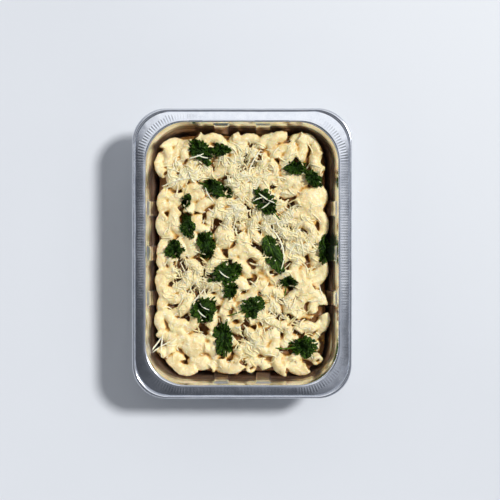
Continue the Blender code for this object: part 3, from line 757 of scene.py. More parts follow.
def make_pan(material):
    steps = pan_steps()
    bm = loft([dented(pan_ring(steps, *level)) for level in pan_levels()])
    bmesh.ops.recalc_face_normals(bm, faces=bm.faces[:])
    if sum(f.normal.z * f.calc_area() for f in bm.faces) < 0:
        bmesh.ops.reverse_faces(bm, faces=bm.faces[:])
    pan = link_mesh(mesh_from(bm, "foil_pan"), "foil_pan", material)
    shell = pan.modifiers.new("foil", "SOLIDIFY")
    shell.thickness = FOIL
    shell.offset = -1.0
    apply_modifiers(pan)
    pan.data.set_sharp_from_angle(angle=math.radians(50))
    height = points_of(pan.data)[:, 2]
    set_attribute(pan.data, "rim", smoothstep(PAN_HEIGHT - 0.0040, PAN_HEIGHT - 0.0028, height))
    crease_flange(pan.data)
    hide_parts("foil_tray")
    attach(pan, "root")


def crease_flange(mesh):
    """The ridges across the flange have sharp facets; the rest of the pan is smooth."""
    for face in mesh.polygons:
        out = outside_wall(face.center.x, face.center.y, PAN_HEIGHT)
        if 0.0015 < out < 0.0080 and face.center.z > PAN_HEIGHT - 0.0025:
            face.use_smooth = False


# Where each pasta tube lies.


def wall_inset(z):
    return float(np.interp(z, WALL_Z, WALL_INSET))


WALL_Z = (FOIL * 2, 0.0040, HEEL_TOP, PAN_HEIGHT - STEP_DROP - SHELF_FALL, PAN_HEIGHT - STEP_DROP)
WALL_Z += (PAN_HEIGHT - WALL_TOP_FALL, PAN_HEIGHT - 0.0040, PAN_HEIGHT - 0.0020)
WALL_INSET = (BASE_INSET, HEEL_INSET, HEEL_INSET - 0.0006, STEP_INSET + STEP_WIDTH, STEP_INSET)
WALL_INSET += (WALL_TOP_INSET, WALL_TOP_INSET - 0.0002, 0.0002)


def outside_wall(x, y, z):
    """Distance beyond the wall at this height: negative inside the pan. Works on arrays."""
    inset = np.interp(z, WALL_Z, WALL_INSET)
    half_x = MOUTH_X - inset
    half_y = MOUTH_Y - inset
    radius = MOUTH_RADIUS - inset
    dx = np.abs(x) - half_x + radius
    dy = np.abs(y) - half_y + radius
    corner = np.hypot(np.maximum(dx, 0), np.maximum(dy, 0))
    return corner + np.minimum(np.maximum(dx, dy), 0) - radius


def by_rib(x, y, reach):
    """Which points lie by the wall and no further than the reach from the middle of a rib."""
    by_long = (np.abs(y[:, None] - LONG_SIDE_RIBS).min(1) < reach) & (np.abs(x) > MOUTH_X - WALL_ZONE)
    by_short = (np.abs(x[:, None] - SHORT_SIDE_RIBS).min(1) < reach) & (np.abs(y) > MOUTH_Y - WALL_ZONE)
    return by_long | by_short


def kept_inside(points, gap):
    """Moves what would come nearer to the wall and its ribs than the gap back inside."""
    x, y, z = points.T
    ribs = by_rib(x, y, RIB_WIDTH / 2 + RIB_SLOPE)
    over = np.maximum(outside_wall(x, y, z) + gap + RIB_DEPTH * ribs, 0)
    step = 0.0002
    along_x = (outside_wall(x + step, y, z) - outside_wall(x - step, y, z)) / (2 * step)
    along_y = (outside_wall(x, y + step, z) - outside_wall(x, y - step, z)) / (2 * step)
    return points - np.column_stack([along_x * over, along_y * over, np.zeros(len(x))])


def heap_limit(x, y):
    """The highest that the heap stands here: lower near the walls."""
    inside = -outside_wall(x, y, HEAP_TOP)
    share = np.clip(inside / HEAP_EDGE_REACH, 0, 1)
    lumps = np.sin(x / 0.0071 + 1.3) * np.sin(y / 0.0083 + 0.4) + np.sin(x / 0.013 - y / 0.011)
    limit = HEAP_TOP - HEAP_LUMP * (1 - lumps / 2) - HEAP_EDGE_DROP * (1 - share * share * (3 - 2 * share))
    for pocket_x, pocket_y, reach_x, reach_y in POCKETS:
        away = ((x - pocket_x) / reach_x) ** 2 + ((y - pocket_y) / reach_y) ** 2
        limit = limit - POCKET_DEPTH * np.exp(-away)
    return limit


class HeightMap:
    """The top of the heap, cell by cell, while tubes are laid on it."""

    def __init__(self):
        self.nx = int(2 * MOUTH_X / CELL) + 9
        self.ny = int(2 * MOUTH_Y / CELL) + 9
        self.x0 = -(self.nx - 1) / 2 * CELL
        self.y0 = -(self.ny - 1) / 2 * CELL
        i, j = np.meshgrid(np.arange(self.nx), np.arange(self.ny), indexing="ij")
        self.x = self.x0 + i * CELL
        self.y = self.y0 + j * CELL
        self.limit = heap_limit(self.x, self.y)
        self.inside = outside_wall(self.x, self.y, HEAP_TOP) < -0.006
        self.z = HEAP_START - HEAP_TOP + self.limit
        reach = int(TUBE_RADIUS[1] / CELL) + 1
        offsets = np.arange(-reach, reach + 1)
        self.di, self.dj = (a.ravel() for a in np.meshgrid(offsets, offsets, indexing="ij"))

    def low_place(self, draw, drop):
        """A place picked where the heap is still well under its limit."""
        room = np.where(self.inside, np.maximum(self.limit - drop - self.z, 0) ** 2, 0).ravel()
        total = np.cumsum(room)
        cell = min(int(np.searchsorted(total, draw.uniform() * total[-1])), len(total) - 1)
        i, j = divmod(cell, self.ny)
        return self.x0 + i * CELL, self.y0 + j * CELL

    def cells(self, points):
        i = np.rint((points[:, 0] - self.x0) / CELL).astype(int)
        j = np.rint((points[:, 1] - self.y0) / CELL).astype(int)
        i = np.clip(i[:, None] + self.di, 0, self.nx - 1)
        j = np.clip(j[:, None] + self.dj, 0, self.ny - 1)
        away = np.hypot(self.di, self.dj) * CELL
        return i, j, away

    def rest_height(self, points, radius):
        """How high this line of balls has to be lifted to rest on the map."""
        i, j, away = self.cells(points)
        under = away < radius
        drop = np.sqrt(radius**2 - away[under] ** 2)
        need = self.z[i[:, under], j[:, under]] + drop - points[:, 2:3]
        return need.max()

    def lay_mound(self, x, y, z, reach_x, reach_y, reach_z):
        away = ((self.x - x) / reach_x) ** 2 + ((self.y - y) / reach_y) ** 2
        top = z + reach_z * np.sqrt(np.maximum(1 - away, 0))
        self.z = np.where(away < 1, np.maximum(self.z, top), self.z)

    def gain(self, points, radius):
        """How far this line of balls would raise the map along its back."""
        i, j, away = self.cells(points)
        back = away < radius / 2
        rise = points[:, 2:3] + radius - self.z[i[:, back], j[:, back]]
        return np.clip(rise, 0, MOST_GAIN).mean()

    def lay(self, points, radius):
        i, j, away = self.cells(points)
        under = away < radius
        rise = np.sqrt(radius**2 - away[under] ** 2)
        np.maximum.at(self.z, (i[:, under], j[:, under]), points[:, 2:3] + rise)


def centreline(tube, stations):
    """Points along a bent tube about its own middle, before it is turned and placed."""
    share = np.linspace(0, 1, stations)
    angle = np.radians(tube["sweep"]) * (share - 0.5)
    bend = tube["bend"]
    points = np.stack([bend * np.cos(angle), bend * np.sin(angle), tube["rise"] * (share - 0.5)], 1)
    return points - np.array([tube["middle"], 0, 0])


def new_tube(draw, x, y, heading, sweep, tip):
    bend = draw.uniform(*BEND_RADIUS)
    half = math.radians(sweep) / 2
    turn = Matrix.Rotation(math.radians(heading), 3, "Z") @ Matrix.Rotation(math.radians(tip), 3, "Y")
    return {
        "x": x,
        "y": y,
        "bend": bend,
        "sweep": sweep,
        "rise": draw.uniform(*TUBE_RISE),
        "radius": draw.uniform(*TUBE_RADIUS),
        "middle": bend * math.sin(half) / half,
        "turn": turn,
    }


def random_tube(draw, x, y):
    heading = draw.uniform(0, 360)
    sweep = draw.uniform(*BEND_SWEEP)
    tipped = draw.uniform() < TIPPED_SHARE
    tip = draw.uniform(-75, 75) if tipped else draw.normal(0, 18)
    return new_tube(draw, x, y, heading, sweep, tip)


def drop_tube(heap, tube, lid=PAN_HEIGHT):
    """Lets a tube down on the heap, under the lid. Gives its line, or None where it would cross the wall."""
    line = centreline(tube, STATIONS) @ np.array(tube["turn"]).T
    line = line + np.array([tube["x"], tube["y"], 0])
    line = nestle(line, tube["radius"])
    line[:, 2] += heap.rest_height(line, tube["radius"]) - SINK
    line[:, 2] -= max((line[:, 2] + tube["radius"]).max() - lid, 0)
    return None if crosses_wall(line, tube["radius"]) else line


def wall_margin(x, y, z, radius):
    """How far a line of balls reaches past the clear space inside the wall and its ribs."""
    ribs = by_rib(x, y, RIB_WIDTH / 2 + radius)
    return (outside_wall(x, y, z) + radius + WALL_GAP + RIB_DEPTH * ribs).max()


def crosses_wall(line, radius):
    return wall_margin(*line.T, radius) > 0


def nestle(line, radius):
    """Pushes a tube that is near the wall up against it."""
    middle = line.mean(0)
    room = -wall_margin(line[:, 0], line[:, 1], HEAP_TOP - NESTLE_DROP, radius)
    if 0 < room < NESTLE_ROOM:
        axis = 0 if MOUTH_X - abs(middle[0]) < MOUTH_Y - abs(middle[1]) else 1
        line[:, axis] += math.copysign(room, middle[axis])
    return line


def fill_up(draw, heap, count, drop):
    """Presses random tubes into the low places, each the one of a few tries that fills most."""
    laid = []
    for _ in range(count):
        best = None
        for _ in range(TRIES):
            tube = random_tube(draw, *heap.low_place(draw, drop))
            line = drop_tube(heap, tube)
            if line is None:
                continue
            over = (line[:, 2] + tube["radius"] - heap_limit(line[:, 0], line[:, 1])).max() + drop
            line[:, 2] -= max(over, 0)
            if over > PRESS or crosses_wall(line, tube["radius"]):
                continue
            gain = heap.gain(line, tube["radius"])
            if gain > LEAST_GAIN and (best is None or gain > best[0]):
                best = (gain, tube, line)
        if best:
            laid.append(settle(heap, best[1], best[2]))
    return laid


def lay_chosen(draw, heap, places, lid):
    """Tubes in chosen places, each moved inwards until it clears the wall."""
    laid = []
    for x, y, heading, sweep, tip in places:
        tube = new_tube(draw, x, y, heading, sweep, tip)
        line = None
        for _ in range(TRIES):
            line = drop_tube(heap, tube, lid)
            if line is not None:
                laid.append(settle(heap, tube, line))
                break
            tube["x"] *= MOVE_IN
            tube["y"] *= MOVE_IN
    return laid


def lay_tubes():
    """Every tube with its place, and the height map that they make."""
    draw = np.random.RandomState(HEAP_SEED)
    heap = HeightMap()
    laid = fill_up(draw, heap, TUBES_UNDER, UNDER_DROP)
    for mound in SAUCE_MOUNDS:
        heap.lay_mound(*mound)
    laid += lay_chosen(draw, heap, TOP_TUBES, HEAP_TOP)
    laid += fill_up(draw, heap, TUBES_OVER, 0.0)
    laid += lay_edge_tubes(heap)
    return laid, heap


def lay_edge_tubes(heap):
    """Tubes that bulge to the wall, each in the lowest place that is left beside it."""
    draw = np.random.RandomState(EDGE_SEED)
    laid = []
    heap.z = np.maximum(heap.z, EDGE_FLOOR)
    inside = -outside_wall(heap.x, heap.y, EDGE_LID)
    free = (inside > EDGE_ZONE[0]) & (inside < EDGE_ZONE[1])
    kept_x, kept_y, kept_reach = EDGE_KEPT_FREE
    free &= np.hypot(heap.x - kept_x, heap.y - kept_y) > kept_reach
    for _ in range(EDGE_TUBES):
        cell = np.unravel_index(np.where(free, heap.z, 1.0).argmin(), free.shape)
        x, y = heap.x[cell], heap.y[cell]
        free &= np.hypot(heap.x - x, heap.y - y) > EDGE_APART
        outward = np.array([x - np.clip(x, -CORNER_X, CORNER_X), y - np.clip(y, -CORNER_Y, CORNER_Y)])
        heading = math.degrees(math.atan2(outward[1], outward[0])) + draw.normal(0, 30)
        place = (x, y, heading, draw.uniform(90, 170), draw.normal(0, 14))
        laid += lay_chosen(draw, heap, [place], EDGE_LID)
    return laid


def settle(heap, tube, line):
    heap.lay(line, tube["radius"])
    tube["line"] = line
    tube["place"] = line.mean(0) - (centreline(tube, STATIONS) @ np.array(tube["turn"]).T).mean(0)
    return tube


# The food: tubes and sauce, melted into one skin.


def tube_mesh(tube):
    """A bent tube with a bore in each end, in its place."""
    radius = tube["radius"]
    sweep = math.radians(tube["sweep"])
    start = (
        Matrix.Rotation(-sweep / 2, 4, "Z")
        @ Matrix.Translation((tube["bend"], 0, -tube["rise"] / 2))
        @ Matrix.Rotation(math.pi / 2, 4, "X")
    )
    bm = bmesh.new()
    bmesh.ops.create_circle(bm, cap_ends=False, segments=TUBE_SIDES, radius=radius, matrix=start)
    bmesh.ops.spin(
        bm,
        geom=bm.verts[:] + bm.edges[:],
        cent=(0, 0, 0),
        axis=(0, 0, 1),
        dvec=(0, 0, tube["rise"] / TUBE_STEPS),
        angle=sweep,
        steps=TUBE_STEPS,
        use_merge=False,
        use_duplicate=False,
    )
    rims = [e for e in bm.edges if e.is_boundary]
    caps = bmesh.ops.holes_fill(bm, edges=rims, sides=TUBE_SIDES)["faces"]
    bmesh.ops.recalc_face_normals(bm, faces=bm.faces[:])
    for cap in caps:
        bore(bm, cap, radius)
    shift = Matrix.Translation((-tube["middle"], 0, 0))
    place = Matrix.Translation(Vector(tube["place"])) @ tube["turn"].to_4x4()
    bmesh.ops.transform(bm, matrix=place @ shift, verts=bm.verts[:])
    return mesh_from(bm, "tube")


def bore(bm, cap, radius):
    """Sinks a hole in the end of a tube."""
    inward = cap.normal * -BORE_DEPTH
    lip = cap.normal * -0.0002
    for width, depth in ((radius * 0.22, 0.0003), (radius * (0.78 - BORE_SHARE), 0.0)):
        bmesh.ops.inset_region(bm, faces=[cap], thickness=width, depth=depth, use_even_offset=True)
    bmesh.ops.translate(bm, verts=cap.verts[:], vec=lip)
    floor = bmesh.ops.extrude_discrete_faces(bm, faces=[cap])["faces"][0]
    bmesh.ops.translate(bm, verts=floor.verts[:], vec=inward)


def mound_mesh(x, y, z, reach_x, reach_y, reach_z):
    bm = bmesh.new()
    place = Matrix.Translation((x, y, z)) @ Matrix.Diagonal((reach_x, reach_y, reach_z, 1.0))
    bmesh.ops.create_uvsphere(bm, u_segments=32, v_segments=16, radius=1.0, matrix=place)
    return mesh_from(bm, "mound")


def core_height(heap, x, y):
    """The sauce's level: a little under the tubes around it."""
    reach = 4
    i = int(round((x - heap.x0) / CELL))
    j = int(round((y - heap.y0) / CELL))
    near = heap.z[max(i - reach, 0) : i + reach + 1, max(j - reach, 0) : j + reach + 1]
    level = CORE_LEVEL - HEAP_TOP + float(heap_limit(x, y))
    edge = float(1 - smoothstep(0.0, CORE_EDGE_REACH, -outside_wall(x, y, CORE_LEVEL)))
    level -= edge * CORE_EDGE_DROP
    return min(max(float(near.mean()) - CORE_SINK, level - CORE_RANGE), level + CORE_RANGE)


def core_mesh(heap):
    """The filling under the top tubes, grown ring by ring from the base to the middle of its top."""
    steps = pan_steps()[::6]
    outer = pan_ring(steps, -(wall_inset(0.024) + RIB_DEPTH + 2 * CORE_GAP), 0.0)
    rings = []
    for z in (FOIL * 2 + CORE_GAP, 0.0036, 0.0100):
        inset = wall_inset(z) + CORE_GAP + (RIB_DEPTH + CORE_GAP if z > 0.003 else 0)
        rings.append(pan_ring(steps, -inset, z))
    for k in range(CORE_RINGS):
        share = 1 - k / CORE_RINGS
        ring = outer * (share, share, 1)
        ring[:, 1] = outer[:, 1] * (share + (1 - share) * CORE_MIDDLE_LINE * (share > 0.02))
        for p in ring:
            p[2] = core_height(heap, p[0] * CORE_READ_AT, p[1] * CORE_READ_AT)
        rings.append(ring)
    return mesh_from(loft(rings, closed=True), "core")


def height_grid(points, cell):
    """The top of a mesh as a grid of heights, and the cell of each point."""
    border = 4 * cell
    low = points[:, :2].min(0) - border
    high = points[:, :2].max(0) + border
    shape = np.ceil((high - low) / cell).astype(int) + 1
    grid = np.full(shape, -1.0)
    index = np.rint((points[:, :2] - low) / cell).astype(int)
    np.maximum.at(grid, (index[:, 0], index[:, 1]), points[:, 2])
    return grid, index


def blurred(grid, known, reach):
    """A box blur that leaves out unknown cells."""
    total, weight = np.where(known, grid, 0.0), known.astype(float)
    for axis in (0, 1):
        for _ in range(2):
            total = box_blur(total, reach, axis)
            weight = box_blur(weight, reach, axis)
    return total / np.maximum(weight, 1e-6)


def box_blur(grid, reach, axis):
    padding = [(0, 0), (0, 0)]
    padding[axis] = (reach + 1, reach)
    sums = np.cumsum(np.pad(grid, padding), axis=axis)
    size = grid.shape[axis]
    upper = np.take(sums, np.arange(2 * reach + 1, 2 * reach + 1 + size), axis=axis)
    lower = np.take(sums, np.arange(0, size), axis=axis)
    return (upper - lower) / (2 * reach + 1)


def melt(obj, voxel, rounds):
    """One skin over everything, softened."""
    remesh = obj.modifiers.new("skin", "REMESH")
    remesh.mode = "VOXEL"
    remesh.voxel_size = voxel
    soften = obj.modifiers.new("soften", "SMOOTH")
    soften.factor = 0.5
    soften.iterations = rounds
    apply_modifiers(obj)


def pool_sauce(obj, rounds):
    """Lets sauce fill the creases: each round moves a point out to its neighbours' mean, never in."""
    mesh = obj.data
    ends = np.empty(len(mesh.edges) * 2, dtype=np.int32)
    mesh.edges.foreach_get("vertices", ends)
    start, end = ends[0::2], ends[1::2]
    size = len(mesh.vertices)
    links = np.bincount(ends, minlength=size)[:, None]
    for _ in range(rounds):
        points, normals = points_of(mesh), normals_of(mesh)
        total = np.column_stack([
            np.bincount(start, points[end, k], size) + np.bincount(end, points[start, k], size)
            for k in range(3)
        ])
        outward = ((total / links - points) * normals).sum(1)
        set_points(mesh, points + normals * np.maximum(outward, 0)[:, None])


def roughen(obj):
    """Small lumps of sauce."""
    points, normals = points_of(obj.data), normals_of(obj.data)
    lumps = np.empty(len(points))
    for i, p in enumerate(points):
        place = Vector(p)
        lumps[i] = noise.noise(place * LUMP_SCALE) * LUMP + noise.noise(place * CURD_SCALE) * CURD
    lumps *= points[:, 2] > LUMPS_ABOVE
    set_points(obj.data, points + normals * lumps[:, None])


def thin_out(obj, most):
    count = sum(len(p.vertices) - 2 for p in obj.data.polygons)
    if count > most:
        fewer = obj.modifiers.new("fewer", "DECIMATE")
        fewer.ratio = most / count
        apply_modifiers(obj)


def mark_hollow_shade(obj):
    """How far each point lies below the food around it, as a share, for the sauce's amber and brown that is
    partly painted shade. By the wall it counts less.
    """
    points = points_of(obj.data)
    x, y, z = points.T
    grid, index = height_grid(points, HOLLOW_CELL)
    known = grid > 0.015
    broad = blurred(grid, known, 5)[index[:, 0], index[:, 1]] - z
    fine = blurred(grid, known, 2)[index[:, 0], index[:, 1]] - z
    by_wall = 1 - smoothstep(0.002, CORE_EDGE_REACH, -outside_wall(x, y, CORE_LEVEL))
    hollow_shade = broad / BROAD_HOLLOW * (1 - WALL_HOLLOW_LOSS * by_wall)
    hollow_shade = hollow_shade + np.clip(fine, 0, None) / FINE_HOLLOW + HOLLOW_START
    set_attribute(obj.data, "hollow_shade", np.clip(hollow_shade, 0, HOLLOW_MOST))


def joined(meshes):
    """One mesh of several."""
    bm = bmesh.new()
    for mesh in meshes:
        bm.from_mesh(mesh)
        bpy.data.meshes.remove(mesh)
    return mesh_from(bm, "joined")


def make_food(material):
    laid, heap = lay_tubes()
    parts = [core_mesh(heap)]
    parts += [tube_mesh(tube) for tube in laid]
    parts += [mound_mesh(*mound) for mound in SAUCE_MOUNDS]
    food = link_mesh(joined(parts), "macaroni_in_sauce")
    melt(food, VOXEL, 2)
    pool_sauce(food, SAUCE_ROUNDS)
    roughen(food)
    set_points(food.data, kept_inside(points_of(food.data), FOOD_GAP))
    thin_out(food, FOOD_TRIANGLES)
    mark_hollow_shade(food)
    food.data.materials.append(material)
    food.data.shade_smooth()
    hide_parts("macaroni")
    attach(food, "root")
    return food


def surface_of(obj):
    """A function that gives the height of the object's top over a point."""
    tree = BVHTree.FromObject(obj, bpy.context.evaluated_depsgraph_get())

    def height(x, y):
        hit = tree.ray_cast(Vector((x, y, 0.1)), Vector((0, 0, -1)))[0]
        return hit.z if hit else HEAP_START

    return height


# The grated cheese.


def shred_pattern():
    """One straight shred along X, from -0.5 to 0.5, with round ends."""
    bm = bmesh.new()
    turn = Matrix.Rotation(math.pi / 2, 4, "Y")
    ring = bmesh.ops.create_circle(bm, cap_ends=False, segments=SHRED_SIDES, radius=0.5, matrix=turn)["verts"]
    bmesh.ops.translate(bm, verts=ring, vec=(-0.5, 0, 0))
    edges = bm.edges[:]
    first = edges
    for _ in range(SHRED_STEPS):
        grown = bmesh.ops.extrude_edge_only(bm, edges=edges)["geom"]
        verts = [g for g in grown if isinstance(g, bmesh.types.BMVert)]
        edges = [g for g in grown if isinstance(g, bmesh.types.BMEdge) and g.is_boundary]
        bmesh.ops.translate(bm, verts=verts, vec=(1 / SHRED_STEPS, 0, 0))
    bmesh.ops.contextual_create(bm, geom=first)
    bmesh.ops.contextual_create(bm, geom=edges)
    bmesh.ops.triangulate(bm, faces=bm.faces[:])
    bmesh.ops.recalc_face_normals(bm, faces=bm.faces[:])
    points = np.array([v.co[:] for v in bm.verts])
    faces = np.array([[v.index for v in f.verts] for f in bm.faces])
    bm.free()
    return points, faces


def shred_places(draw, share, scatter):
    """Where the cheese lies: this share of the patches' numbers, then a thin scatter over all the food."""
    for x, y, across, along, count in SHRED_PATCHES:
        for _ in range(int(count * share)):
            yield draw.normal(x, across), draw.normal(y, along)
    for _ in range(scatter):
        yield draw.uniform(-1, 1) * MOUTH_X, draw.uniform(-1, 1) * MOUTH_Y


def make_shreds(surface, leaves, material):
    """Grated cheese on the food, and a few long shreds that also lie on the leaves."""
    covers = [surface_of(leaf) for leaf in leaves]

    def above_all(x, y):
        return max(surface(x, y), max(cover(x, y) for cover in covers))

    draw = np.random.RandomState(SHRED_SEED)
    pattern, faces = shred_pattern()
    laid, tints = [], []
    sorts = (
        (1.0, SHRED_SCATTER, SHRED_LENGTH, SHRED_WIDTH, (0.0, 0.7)),
        (CRUMB_SHARE, CRUMB_SCATTER, CRUMB_LENGTH, CRUMB_WIDTH, (0.2, 1.0)),
    )
    for share, scatter, lengths, widths, shades in sorts:
        for x, y in shred_places(draw, share, scatter):
            length = draw.uniform(*lengths)
            heading = draw.uniform(0, 2 * math.pi)
            curl = draw.normal(0, 0.12) * length
            width = draw.uniform(*widths)
            tint = draw.uniform(*shades)
            if outside_wall(x, y, 0.03) < -0.007 - length / 2:
                laid.append(lay_shred(surface, pattern, x, y, length, heading, curl, width, SHRED_SAG))
                tints.append(tint)
    laid += lay_between_ends(above_all, pattern, LONG_SHREDS, LONG_SHRED_SAG)
    tints += [1.0] * len(LONG_SHREDS)
    points = kept_inside(np.concatenate(laid), FOOD_GAP)
    mesh = mesh_of_parts("grated_cheese", points, faces, len(laid))
    set_attribute(mesh, "tint", np.repeat(tints, len(pattern)))
    shreds = link_mesh(mesh, "grated_cheese", material)
    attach(shreds, "root")


def lay_between_ends(surface, pattern, rows, sag):
    """Shreds or stems whose ends are given."""
    laid = []
    for start, end, bow, width in rows:
        middle = (Vector(start) + Vector(end)) / 2
        line = Vector(end) - Vector(start)
        place = (middle.x, middle.y, line.length, math.atan2(line.y, line.x))
        laid.append(lay_shred(surface, pattern, *place, bow, width, sag))
    return laid


def lay_shred(surface, pattern, x, y, length, heading, curl, width, sag):
    """Bends the pattern along a curve that follows what it lies on, and sags no more than this in a gap."""
    share = np.linspace(-0.5, 0.5, SHRED_STEPS + 1)
    cos, sin = math.cos(heading), math.sin(heading)
    along = share * length
    side = curl * (4 * share**2 - 1)
    line_x = x + along * cos - side * sin
    line_y = y + along * sin + side * cos
    line_z = np.array([surface(a, b) for a, b in zip(line_x, line_y)])
    line_z = np.maximum(line_z, line_z.max() - sag)
    for _ in range(3):
        bridge = (np.roll(line_z, 1) + np.roll(line_z, -1)) / 2
        bridge[[0, -1]] = line_z[[0, -1]]
        line_z = np.maximum(line_z, bridge * 0.7 + line_z * 0.3)
    line_z += width * 0.12
    spot = (pattern[:, 0] + 0.5) * SHRED_STEPS
    taper = 1 - 0.55 * np.abs(pattern[:, 0] * 2) ** 4
    middle_x, middle_y, middle_z = (
        np.interp(spot, range(SHRED_STEPS + 1), values) for values in (line_x, line_y, line_z)
    )
    place_x = middle_x - pattern[:, 1] * width * taper * sin
    place_y = middle_y + pattern[:, 1] * width * taper * cos
    place_z = middle_z + pattern[:, 2] * width * 0.6 * taper
    return np.column_stack([place_x, place_y, place_z])


# The kale.


def leaf_grid():
    """The points and faces of a square sheet from -1 to 1."""
    bm = bmesh.new()
    bmesh.ops.create_grid(bm, x_segments=LEAF_GRID, y_segments=LEAF_GRID, size=1.0)
    points = np.array([v.co[:] for v in bm.verts])
    faces = np.array([[v.index for v in f.verts] for f in bm.faces])
    bm.free()
    return points, faces


def leaf_sheet(square, surface, place, number, layer, phase):
    """A square pulled to a leaf, draped on the food, then crumpled. Gives points, veins and edge."""
    x, y, length, width, heading = place
    smooth_leaf = number == SMOOTH_LEAF
    u = square[:, 0] * np.sqrt(1 - square[:, 1] ** 2 / 2)
    v = square[:, 1] * np.sqrt(1 - square[:, 0] ** 2 / 2)
    radius, angle = np.hypot(u, v), np.arctan2(v, u)
    reach = leaf_outline(number + layer * 0.37, angle, smooth_leaf)
    reach = reach * (1 - SECOND_SHEET_SMALLER * layer)
    flat_x = u * length / 2 * reach
    flat_y = v * width / 2 * reach * (1 - LEAF_TAPER * u**2)
    cos, sin = math.cos(math.radians(heading)), math.sin(math.radians(heading))
    place_x = x + flat_x * cos - flat_y * sin
    place_y = y + flat_x * sin + flat_y * cos
    ground = np.array([surface(a, b) for a, b in zip(place_x, place_y)]).reshape(LEAF_GRID + 1, -1)
    for _ in range(8):
        ground = np.maximum(ground, spread(ground))
    for _ in range(5):
        ground = spread(ground)
    spots = [Vector((a, b, number * 0.1 + layer)) for a, b in zip(place_x, place_y)]
    lumps = np.array([noise.noise(p * LUMP_ON_LEAF_SCALE) for p in spots])
    creases = np.array([abs(noise.noise(p * CREASE_SCALE)) for p in spots])
    swing = phase[0] + 2 * np.sin(3 * angle + phase[1])
    ruffle = LEAF_RUFFLE * radius**2 * np.sin(RUFFLES * angle + swing)
    ruffle += LEAF_RUFFLE * SMALL_RUFFLE_SHARE * radius * np.sin(SMALL_RUFFLES * angle + phase[2])
    crumple = LEAF_CRUMPLE * (lumps - CREASE_SHARE * creases)
    size = 0.4 if smooth_leaf else 1.0 + 0.3 * layer
    fold = -LEAF_FOLD * np.exp(-((v / FOLD_WIDTH) ** 2))
    height = ground.ravel() + LEAF_LIFT * (1 + 0.9 * layer) + (ruffle + crumple) * size + fold
    height += LEAF_LEAN * smoothstep(-0.0110, -0.0010, outside_wall(place_x, place_y, HEAP_TOP))
    rib = np.exp(-((v / VEIN_WIDTH) ** 2)) * (u < VEIN_END)
    wave = np.sin((u - np.abs(v) * SIDE_VEIN_SLANT) * SIDE_VEINS)
    side = np.exp(-((wave / SIDE_VEIN_WIDTH) ** 2)) * (np.abs(v) < VEIN_END)
    strength = PALE_VEINS if smooth_leaf else DARK_VEINS
    vein = np.clip(np.maximum(rib * strength[0], side * strength[1]), 0, 1)
    return kept_inside(np.column_stack([place_x, place_y, height]), LEAF_GAP), vein, radius


def make_leaf(number, surface, draw, place, material):
    square, faces = leaf_grid()
    layers = 1 if number == SMOOTH_LEAF else 2
    sheets = []
    for layer in range(layers):
        phase = draw.uniform(0, 2 * math.pi, 3)
        sheets.append(leaf_sheet(square, surface, place, number, layer, phase))
    points, veins, edges = (np.concatenate(values) for values in zip(*sheets))
    mesh = mesh_of_parts("leaf", points, faces, layers)
    set_attribute(mesh, "vein", veins)
    set_attribute(mesh, "edge", edges)
    leaf = link_mesh(mesh, f"kale_leaf_{number:02d}", material)
    body = leaf.modifiers.new("thickness", "SOLIDIFY")
    body.thickness = LEAF_THICKNESS
    body.offset = 0.0
    apply_modifiers(leaf)
    leaf.data.shade_smooth()
    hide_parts(f"kale_{number:02d}")
    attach(leaf, "root")
    return leaf


def leaf_outline(number, angle, smooth_leaf):
    """How far the leaf reaches at each angle, as a share: ragged, or a plain oval."""
    around = [Vector((math.cos(a), math.sin(a), number * 3.1)) for a in angle]
    broad = np.array([noise.noise(p * 1.3) for p in around])
    frill = np.array([noise.noise(p * 3.6) for p in around])
    fine = np.array([noise.noise(p * 9.0) for p in around])
    share = 0.35 if smooth_leaf else 1.0
    return np.clip(LEAF_REACH + (0.40 * broad + 0.32 * frill + 0.26 * fine) * share, *LEAF_REACH_LIMITS)


def make_stems(surface, material):
    """Pale stems that stick out from under some of the leaves."""
    pattern, faces = shred_pattern()
    laid = lay_between_ends(surface, pattern, STEMS, SHRED_SAG)
    mesh = mesh_of_parts("kale_stems", np.concatenate(laid), faces, len(laid))
    set_attribute(mesh, "vein", np.full(len(mesh.vertices), 0.8))
    stems = link_mesh(mesh, "kale_stems", material)
    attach(stems, "root")


def spread(grid):
    """Each cell's mean with its four neighbours, half of it from the cell itself."""
    padded = np.pad(grid, 1, mode="edge")
    return (
        padded[:-2, 1:-1] + padded[2:, 1:-1] + padded[1:-1, :-2] + padded[1:-1, 2:] + 4 * grid
    ) / 8


# The stage.


def make_floor():
    bm = bmesh.new()
    bmesh.ops.create_grid(bm, x_segments=1, y_segments=1, size=4.0)
    link_mesh(mesh_from(bm, "floor"), "floor", floor_material())


def make_camera():
    camera = bpy.data.cameras.new("camera")
    camera.sensor_width = 36.0
    camera.lens = camera.sensor_width * VIEW_DISTANCE / VIEW_WIDTH
    camera.clip_end = 20.0
    holder = bpy.data.objects.new("camera", camera)
    holder.location = (*VIEW_CENTRE, PAN_HEIGHT + VIEW_DISTANCE)
    bpy.context.scene.collection.objects.link(holder)
    bpy.context.scene.camera = holder


def make_lights():
    sun = bpy.data.lights.new("key", "SUN")
    sun.energy = SUN_STRENGTH
    sun.angle = math.radians(SUN_WIDTH)
    holder = bpy.data.objects.new("key", sun)
    holder.rotation_euler = (
        Matrix.Rotation(math.radians(SUN_AZIMUTH), 3, "Z")
        @ Matrix.Rotation(math.radians(90 - SUN_ELEVATION), 3, "Y")
    ).to_euler()
    bpy.context.scene.collection.objects.link(holder)


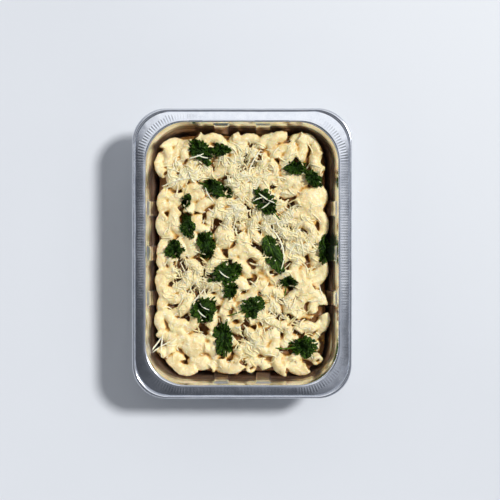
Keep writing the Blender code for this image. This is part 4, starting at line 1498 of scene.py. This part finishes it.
def make_world():
    """A room that is bright behind the pan and to its right, and dark in front."""
    world = bpy.data.worlds.new("room")
    world.use_nodes = True
    bpy.context.scene.world = world
    world.node_tree.nodes.clear()
    direction = add_node(world, "ShaderNodeTexCoord").outputs["Generated"]
    x, y, z = add_node(world, "ShaderNodeSeparateXYZ", {"Vector": direction}).outputs
    ceiling = ceiling_light(world, x, y, z)
    walls = plus(world, times(world, y, ROOM_TILT), ROOM_LEVEL)
    band = times(world, ramp(world, z, BAND_START), ramp(world, z, BAND_END))
    walls = plus(world, walls, times(world, band, BAND_LEVEL))
    overhead = ramp(world, z, CEILING_FROM)
    level = times(world, maths(world, "SUBTRACT", ceiling, walls), overhead)
    level = plus(world, level, walls)
    tint = mix_colour(world, level, (0.87, 0.93, 1.06, 1.0), (0.97, 0.985, 1.0, 1.0))
    shade = add_node(world, "ShaderNodeBackground", {"Color": tint, "Strength": level})
    add_node(world, "ShaderNodeOutputWorld", {"Surface": shade.outputs[0]})


def ceiling_light(world, x, y, z):
    """How bright the ceiling is in this direction."""
    to_back = times(world, y, TO_THE_BACK)
    slope = plus(world, to_back, times(world, x, TO_THE_RIGHT))
    sides = times(world, times(world, x, x), TO_BOTH_SIDES)
    diagonal = times(world, x, y)
    corners = times(world, maths(world, "ABSOLUTE", diagonal), TO_THE_CORNERS)
    two_corners = times(world, diagonal, LESS_IN_TWO_CORNERS)
    corners = maths(world, "SUBTRACT", corners, two_corners)
    cap = plus(world, times(world, x, CORNER_CAP_RIGHT), CORNER_CAP_OVERHEAD)
    cap = plus(world, times(world, cap, ramp(world, z, OVERHEAD)), CORNER_CAP)
    corners = maths(world, "MINIMUM", corners, cap)
    slope = plus(world, plus(world, slope, sides), corners)
    light = times(world, maths(world, "EXPONENT", slope), CEILING)
    least, most = CEILING_LIMITS
    return maths(world, "MAXIMUM", maths(world, "MINIMUM", light, most), least)


def ramp(world, value, ends):
    """A straight ramp from 0 at the first end to 1 at the second."""
    low, high = ends
    share = maths(world, "DIVIDE", maths(world, "SUBTRACT", value, low), high - low)
    return maths(world, "MINIMUM", maths(world, "MAXIMUM", share, 0.0), 1.0)


def main():
    make_camera()
    make_pan(foil_material())
    food = make_food(sauce_material())
    surface = surface_of(food)
    draw = np.random.RandomState(LEAF_SEED)
    kale = kale_material()
    make_stems(surface, kale)
    leaves = []
    for number, place in enumerate(KALE, start=1):
        leaves.append(make_leaf(number, surface, draw, place, kale))
    make_shreds(surface, leaves, shred_material())
    make_floor()
    make_lights()
    make_world()
    scene = bpy.context.scene
    scene.view_settings.view_transform = "Standard"


main()
